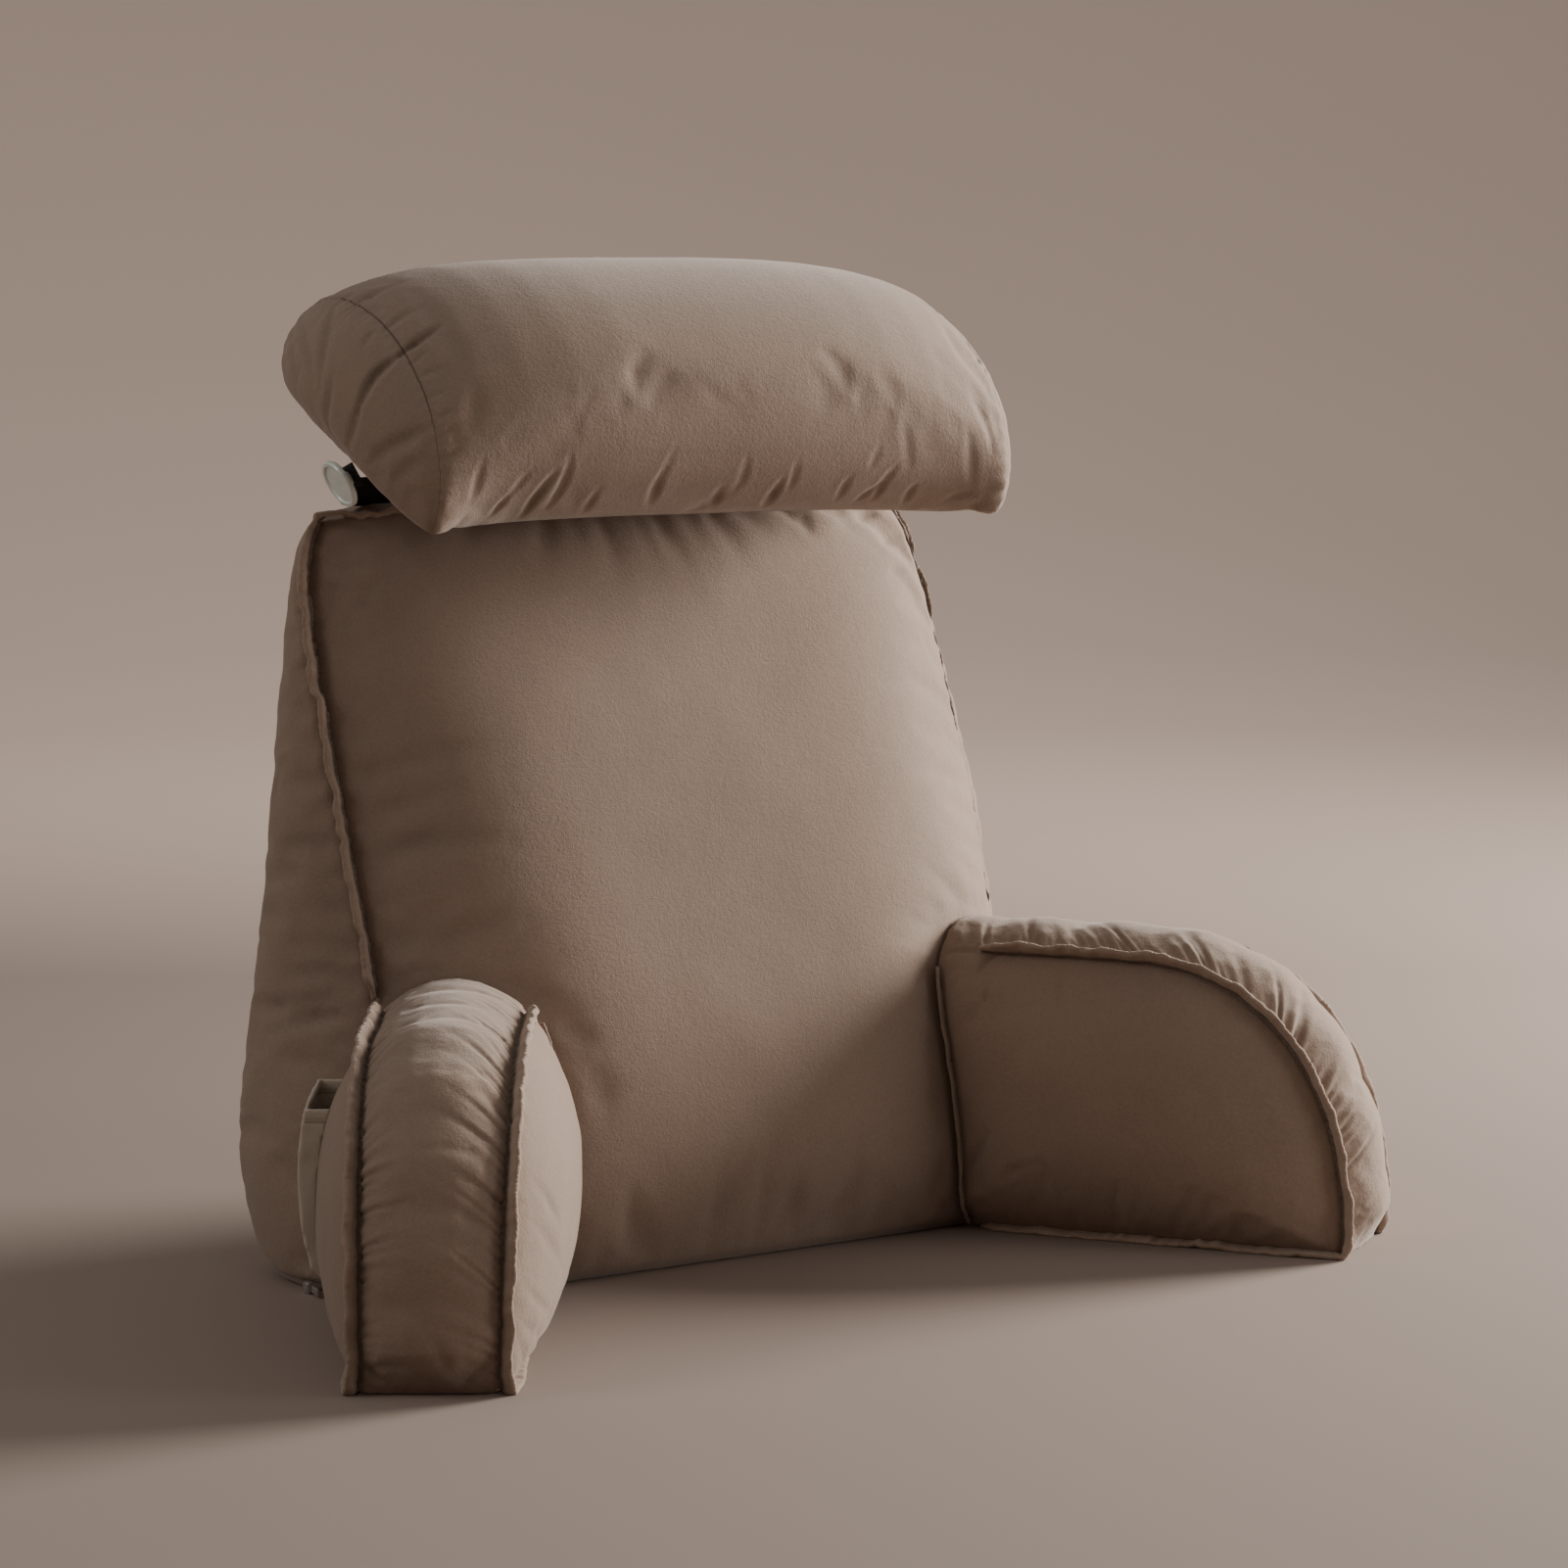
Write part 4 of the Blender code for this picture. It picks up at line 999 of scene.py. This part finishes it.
def brushed_cloth():
    """Brushed cloth: mottled nap, fine grain, a soft sheen, and painted shade in the folds' troughs with a
    painted highlight on their ridges.
    """
    found = bpy.data.materials.get("brushed_cloth_finish")
    if found:
        return found
    finish = Finish("brushed_cloth_finish")
    patches = finish.noise(9.0, 3.0, 0.55)
    nap = finish.noise(85.0, 4.0, 0.6)
    mottle = finish.noise(380.0, 2.0, 0.6)
    grain = finish.noise(950.0, 2.0, 0.7)
    # Painted shade and highlight: the cloth is darkened where a fold sinks in and lightened on its ridges.
    painted_fold_shade = finish.attribute("painted_fold_shade")
    # Darker along stitched lines, the zip and the bolster's end seams: this is partly thread and zip, and
    # partly painted shadow of the seam's groove.
    line = finish.line(finish.attribute("seam"), 0.45)
    weave = 0.69 + 0.12 * patches + 0.12 * nap + 0.30 * mottle + 0.14 * grain
    tone = weave * (1.0 - 0.10 * painted_fold_shade) * (1.0 - 0.62 * line)
    finish.set(Base_Color=finish.scaled((*look().cloth_colour,), tone), Roughness=0.82 + 0.12 * nap,
               Sheen_Weight=0.30, Sheen_Roughness=0.45, Sheen_Tint=(1.0, 0.93, 0.87, 1.0),
               Specular_IOR_Level=0.25)
    finish.bump(0.35 * nap + 0.45 * mottle + 0.4 * grain, 0.0007)
    return finish.material


def pocket_cloth():
    """Smoother, paler cloth with a fine plain weave and a stitched line under its hem."""
    finish = Finish("pocket_cloth_finish")
    patches = finish.noise(14.0, 3.0, 0.55)
    grain = finish.noise(1100.0, 2.0, 0.6)
    along = finish.node("ShaderNodeVectorMath", {"operation": "DOT_PRODUCT"},
                        {0: finish.place, 1: ArmFrame(ARM_ROWS[0]).along}, output="Value")
    stitched = (along / STITCH_LENGTH).math("FRACT").math("LESS_THAN", STITCH_SHARE)
    thread = finish.line(finish.attribute("seam"), 0.35)
    tone = (0.84 + 0.14 * patches + 0.14 * grain) * (1.0 - 0.35 * thread * (0.4 + 0.6 * stitched))
    finish.set(Base_Color=finish.scaled((*look().pocket_colour,), tone), Roughness=0.75 + 0.1 * grain,
               Sheen_Weight=0.2, Sheen_Roughness=0.5)
    finish.bump(grain + 0.6 * thread * stitched, 0.0003)
    return finish.material


def black_elastic():
    """Ribbed black elastic."""
    found = bpy.data.materials.get("black_elastic_finish")
    if found:
        return found
    finish = Finish("black_elastic_finish")
    ribs = finish.node("ShaderNodeTexWave", {"wave_type": "BANDS", "bands_direction": "X"},
                       {"Vector": finish.place, "Scale": 220.0, "Distortion": 0.4})
    threads = finish.noise(700.0, 2.0, 0.6)
    finish.set(Base_Color=finish.scaled((*look().elastic_colour,), 0.7 + 0.6 * ribs + 0.5 * threads),
               Roughness=0.6 + 0.3 * threads)
    finish.bump(0.7 * ribs + 0.3 * threads, 0.0005)
    return finish.material


def pearly_plastic():
    """Pearly button plastic with faint swirls under a clear coat."""
    finish = Finish("pearly_plastic_finish")
    swirl = finish.noise(90.0, 3.0, 0.5, stretch=(1.0, 1.0, 2.2))
    finish.set(Base_Color=finish.scaled((*look().button_colour,), 0.86 + 0.28 * swirl),
               Roughness=0.26 + 0.12 * swirl, Coat_Weight=0.5, Coat_Roughness=0.12)
    return finish.material


def zip_metal():
    """Bright zip metal with small scuffs."""
    finish = Finish("zip_metal_finish")
    scuffs = finish.noise(420.0, 4.0, 0.65)
    finish.set(Base_Color=finish.scaled((*look().zip_colour,), 0.75 + 0.4 * scuffs), Metallic=1.0,
               Roughness=0.25 + 0.3 * scuffs)
    finish.bump(scuffs, 0.0001)
    return finish.material


# Operators

class PILLOW_OT_back(bpy.types.Operator):
    """Make the back cushion's cloth."""

    bl_idname = "pillow.back"
    bl_label = "Back cushion"

    def execute(self, context):
        make_back()
        return {"FINISHED"}


class PILLOW_OT_arms(bpy.types.Operator):
    """Make the cloth of both arms."""

    bl_idname = "pillow.arms"
    bl_label = "Arms"

    def execute(self, context):
        for row in ARM_ROWS:
            make_arm(ArmFrame(row))
        return {"FINISHED"}


class PILLOW_OT_bolster(bpy.types.Operator):
    """Make the headrest bolster's cloth."""

    bl_idname = "pillow.bolster"
    bl_label = "Headrest bolster"

    def execute(self, context):
        make_bolster()
        return {"FINISHED"}


class PILLOW_OT_flanges(bpy.types.Operator):
    """Make the folded flanges on the seams and the strips between arms and back."""

    bl_idname = "pillow.flanges"
    bl_label = "Seam flanges"

    def execute(self, context):
        make_trim("back_flange", ["back_cloth"], front_seam(), BACK_SWAY, RIGHT_SIDE_LAID)
        for arm in [ArmFrame(row) for row in ARM_ROWS]:
            cloth = "arm_" + arm.name + "_cloth"
            for place in ("inner", "outer"):
                seam = arm.seam(place == "outer")
                make_trim("flange_" + arm.name + "_" + place, [cloth], seam, ARM_SWAY, 0.0)
            make_trim("join_strip_" + arm.name, [cloth, "back_cloth"], None, 0.0, 0.0)
        return {"FINISHED"}


class PILLOW_OT_pocket(bpy.types.Operator):
    """Make the pouch pocket on the arm."""

    bl_idname = "pillow.pocket"
    bl_label = "Side pocket"

    def execute(self, context):
        make_pocket()
        return {"FINISHED"}


class PILLOW_OT_fastenings(bpy.types.Operator):
    """Make the straps, and finish the buttons and the zip."""

    bl_idname = "pillow.fastenings"
    bl_label = "Straps, buttons and zip"

    def execute(self, context):
        pearl = pearly_plastic()
        metal = zip_metal()
        for side in ("left", "right"):
            make_strap(side)
        for node, made in (("button_left", pearl), ("button_right", pearl), ("zip_slider", metal),
                           ("zip_pull", metal)):
            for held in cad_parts[node].material_slots:
                held.material = made
        return {"FINISHED"}


def soft_light(name, place, target, size, power, colour):
    bpy.ops.object.light_add(type="AREA", location=place)
    lamp = bpy.context.active_object
    lamp.name = name
    lamp.rotation_euler = (Vector(target) - Vector(place)).to_track_quat("-Z", "Y").to_euler()
    lamp.data.shape = "DISK"
    lamp.data.size = size
    lamp.data.energy = power
    lamp.data.color = colour


class PILLOW_OT_stage(bpy.types.Operator):
    """Make the floor, the lights and the camera."""

    bl_idname = "pillow.stage"
    bl_label = "Stage"

    def execute(self, context):
        self.add_floor(context)
        for row in LIGHTS:
            soft_light(*row)
        world = bpy.data.worlds.new("Studio")
        context.scene.world = world
        world.use_nodes = True
        background = world.node_tree.nodes["Background"]
        background.inputs["Color"].default_value = SKY_COLOUR
        background.inputs["Strength"].default_value = SKY_STRENGTH
        self.add_camera(context)
        return {"FINISHED"}

    def add_floor(self, context):
        """A round floor whose rim sweeps up into a wall, with no horizon at the photograph's angle."""
        bpy.ops.object.select_all(action="DESELECT")
        bpy.ops.mesh.primitive_circle_add(vertices=96, radius=FLOOR_RADIUS, fill_type="NGON")
        floor = context.active_object
        floor.name = "floor"
        bpy.ops.object.mode_set(mode="EDIT")
        bpy.ops.mesh.select_mode(type="EDGE")
        bpy.ops.mesh.select_all(action="SELECT")
        radius = FLOOR_RADIUS
        height = 0.0
        for step in range(1, SWEEP_STEPS + 1):
            angle = math.pi / 2 * step / SWEEP_STEPS
            rise = SWEEP_RADIUS * (1.0 - math.cos(angle)) - height
            wider = (FLOOR_RADIUS + SWEEP_RADIUS * math.sin(angle)) / radius
            bpy.ops.mesh.extrude_edges_move(TRANSFORM_OT_translate={"value": (0.0, 0.0, rise)})
            bpy.ops.transform.resize(value=(wider, wider, 1.0), center_override=(0.0, 0.0, 0.0))
            height += rise
            radius *= wider
        bpy.ops.object.mode_set(mode="OBJECT")
        floor.data.shade_smooth()
        finish = Finish("floor_finish")
        finish.set(Base_Color=(*look().floor_colour, 1.0), Roughness=0.9)
        floor.data.materials.append(finish.material)

    def add_camera(self, context):
        level = math.cos(CAMERA_ELEVATION)
        facing = Vector((math.sin(CAMERA_AZIMUTH) * level, math.cos(CAMERA_AZIMUTH) * level,
                         -math.sin(CAMERA_ELEVATION)))
        bpy.ops.object.camera_add(location=Vector(CAMERA_TARGET) - facing * CAMERA_DISTANCE,
                                  rotation=facing.to_track_quat("-Z", "Y").to_euler())
        camera = context.active_object
        camera.data.lens = CAMERA_LENS
        camera.data.sensor_width = CAMERA_SENSOR
        camera.data.clip_end = CAMERA_REACH
        context.scene.camera = camera


OPERATORS = (PILLOW_OT_back, PILLOW_OT_arms, PILLOW_OT_bolster, PILLOW_OT_flanges, PILLOW_OT_pocket,
             PILLOW_OT_fastenings, PILLOW_OT_stage)


class PILLOW_PT_panel(bpy.types.Panel):
    """Lists the pillow's operators."""

    bl_label = "Backrest pillow"
    bl_idname = "PILLOW_PT_panel"
    bl_space_type = "VIEW_3D"
    bl_region_type = "UI"
    bl_category = "Pillow"

    def draw(self, context):
        for operator in OPERATORS:
            self.layout.operator(operator.bl_idname)


def register():
    for made_class in (PillowLook, *OPERATORS, PILLOW_PT_panel):
        bpy.utils.register_class(made_class)
    bpy.types.Scene.pillow_look = PointerProperty(type=PillowLook)


def unregister():
    del bpy.types.Scene.pillow_look
    for made_class in (PILLOW_PT_panel, *reversed(OPERATORS), PillowLook):
        bpy.utils.unregister_class(made_class)


def main():
    register()
    bpy.ops.pillow.stage()
    bpy.ops.pillow.back()
    bpy.ops.pillow.arms()
    bpy.ops.pillow.bolster()
    bpy.ops.pillow.flanges()
    bpy.ops.pillow.pocket()
    bpy.ops.pillow.fastenings()


if __name__ == "__main__":
    main()
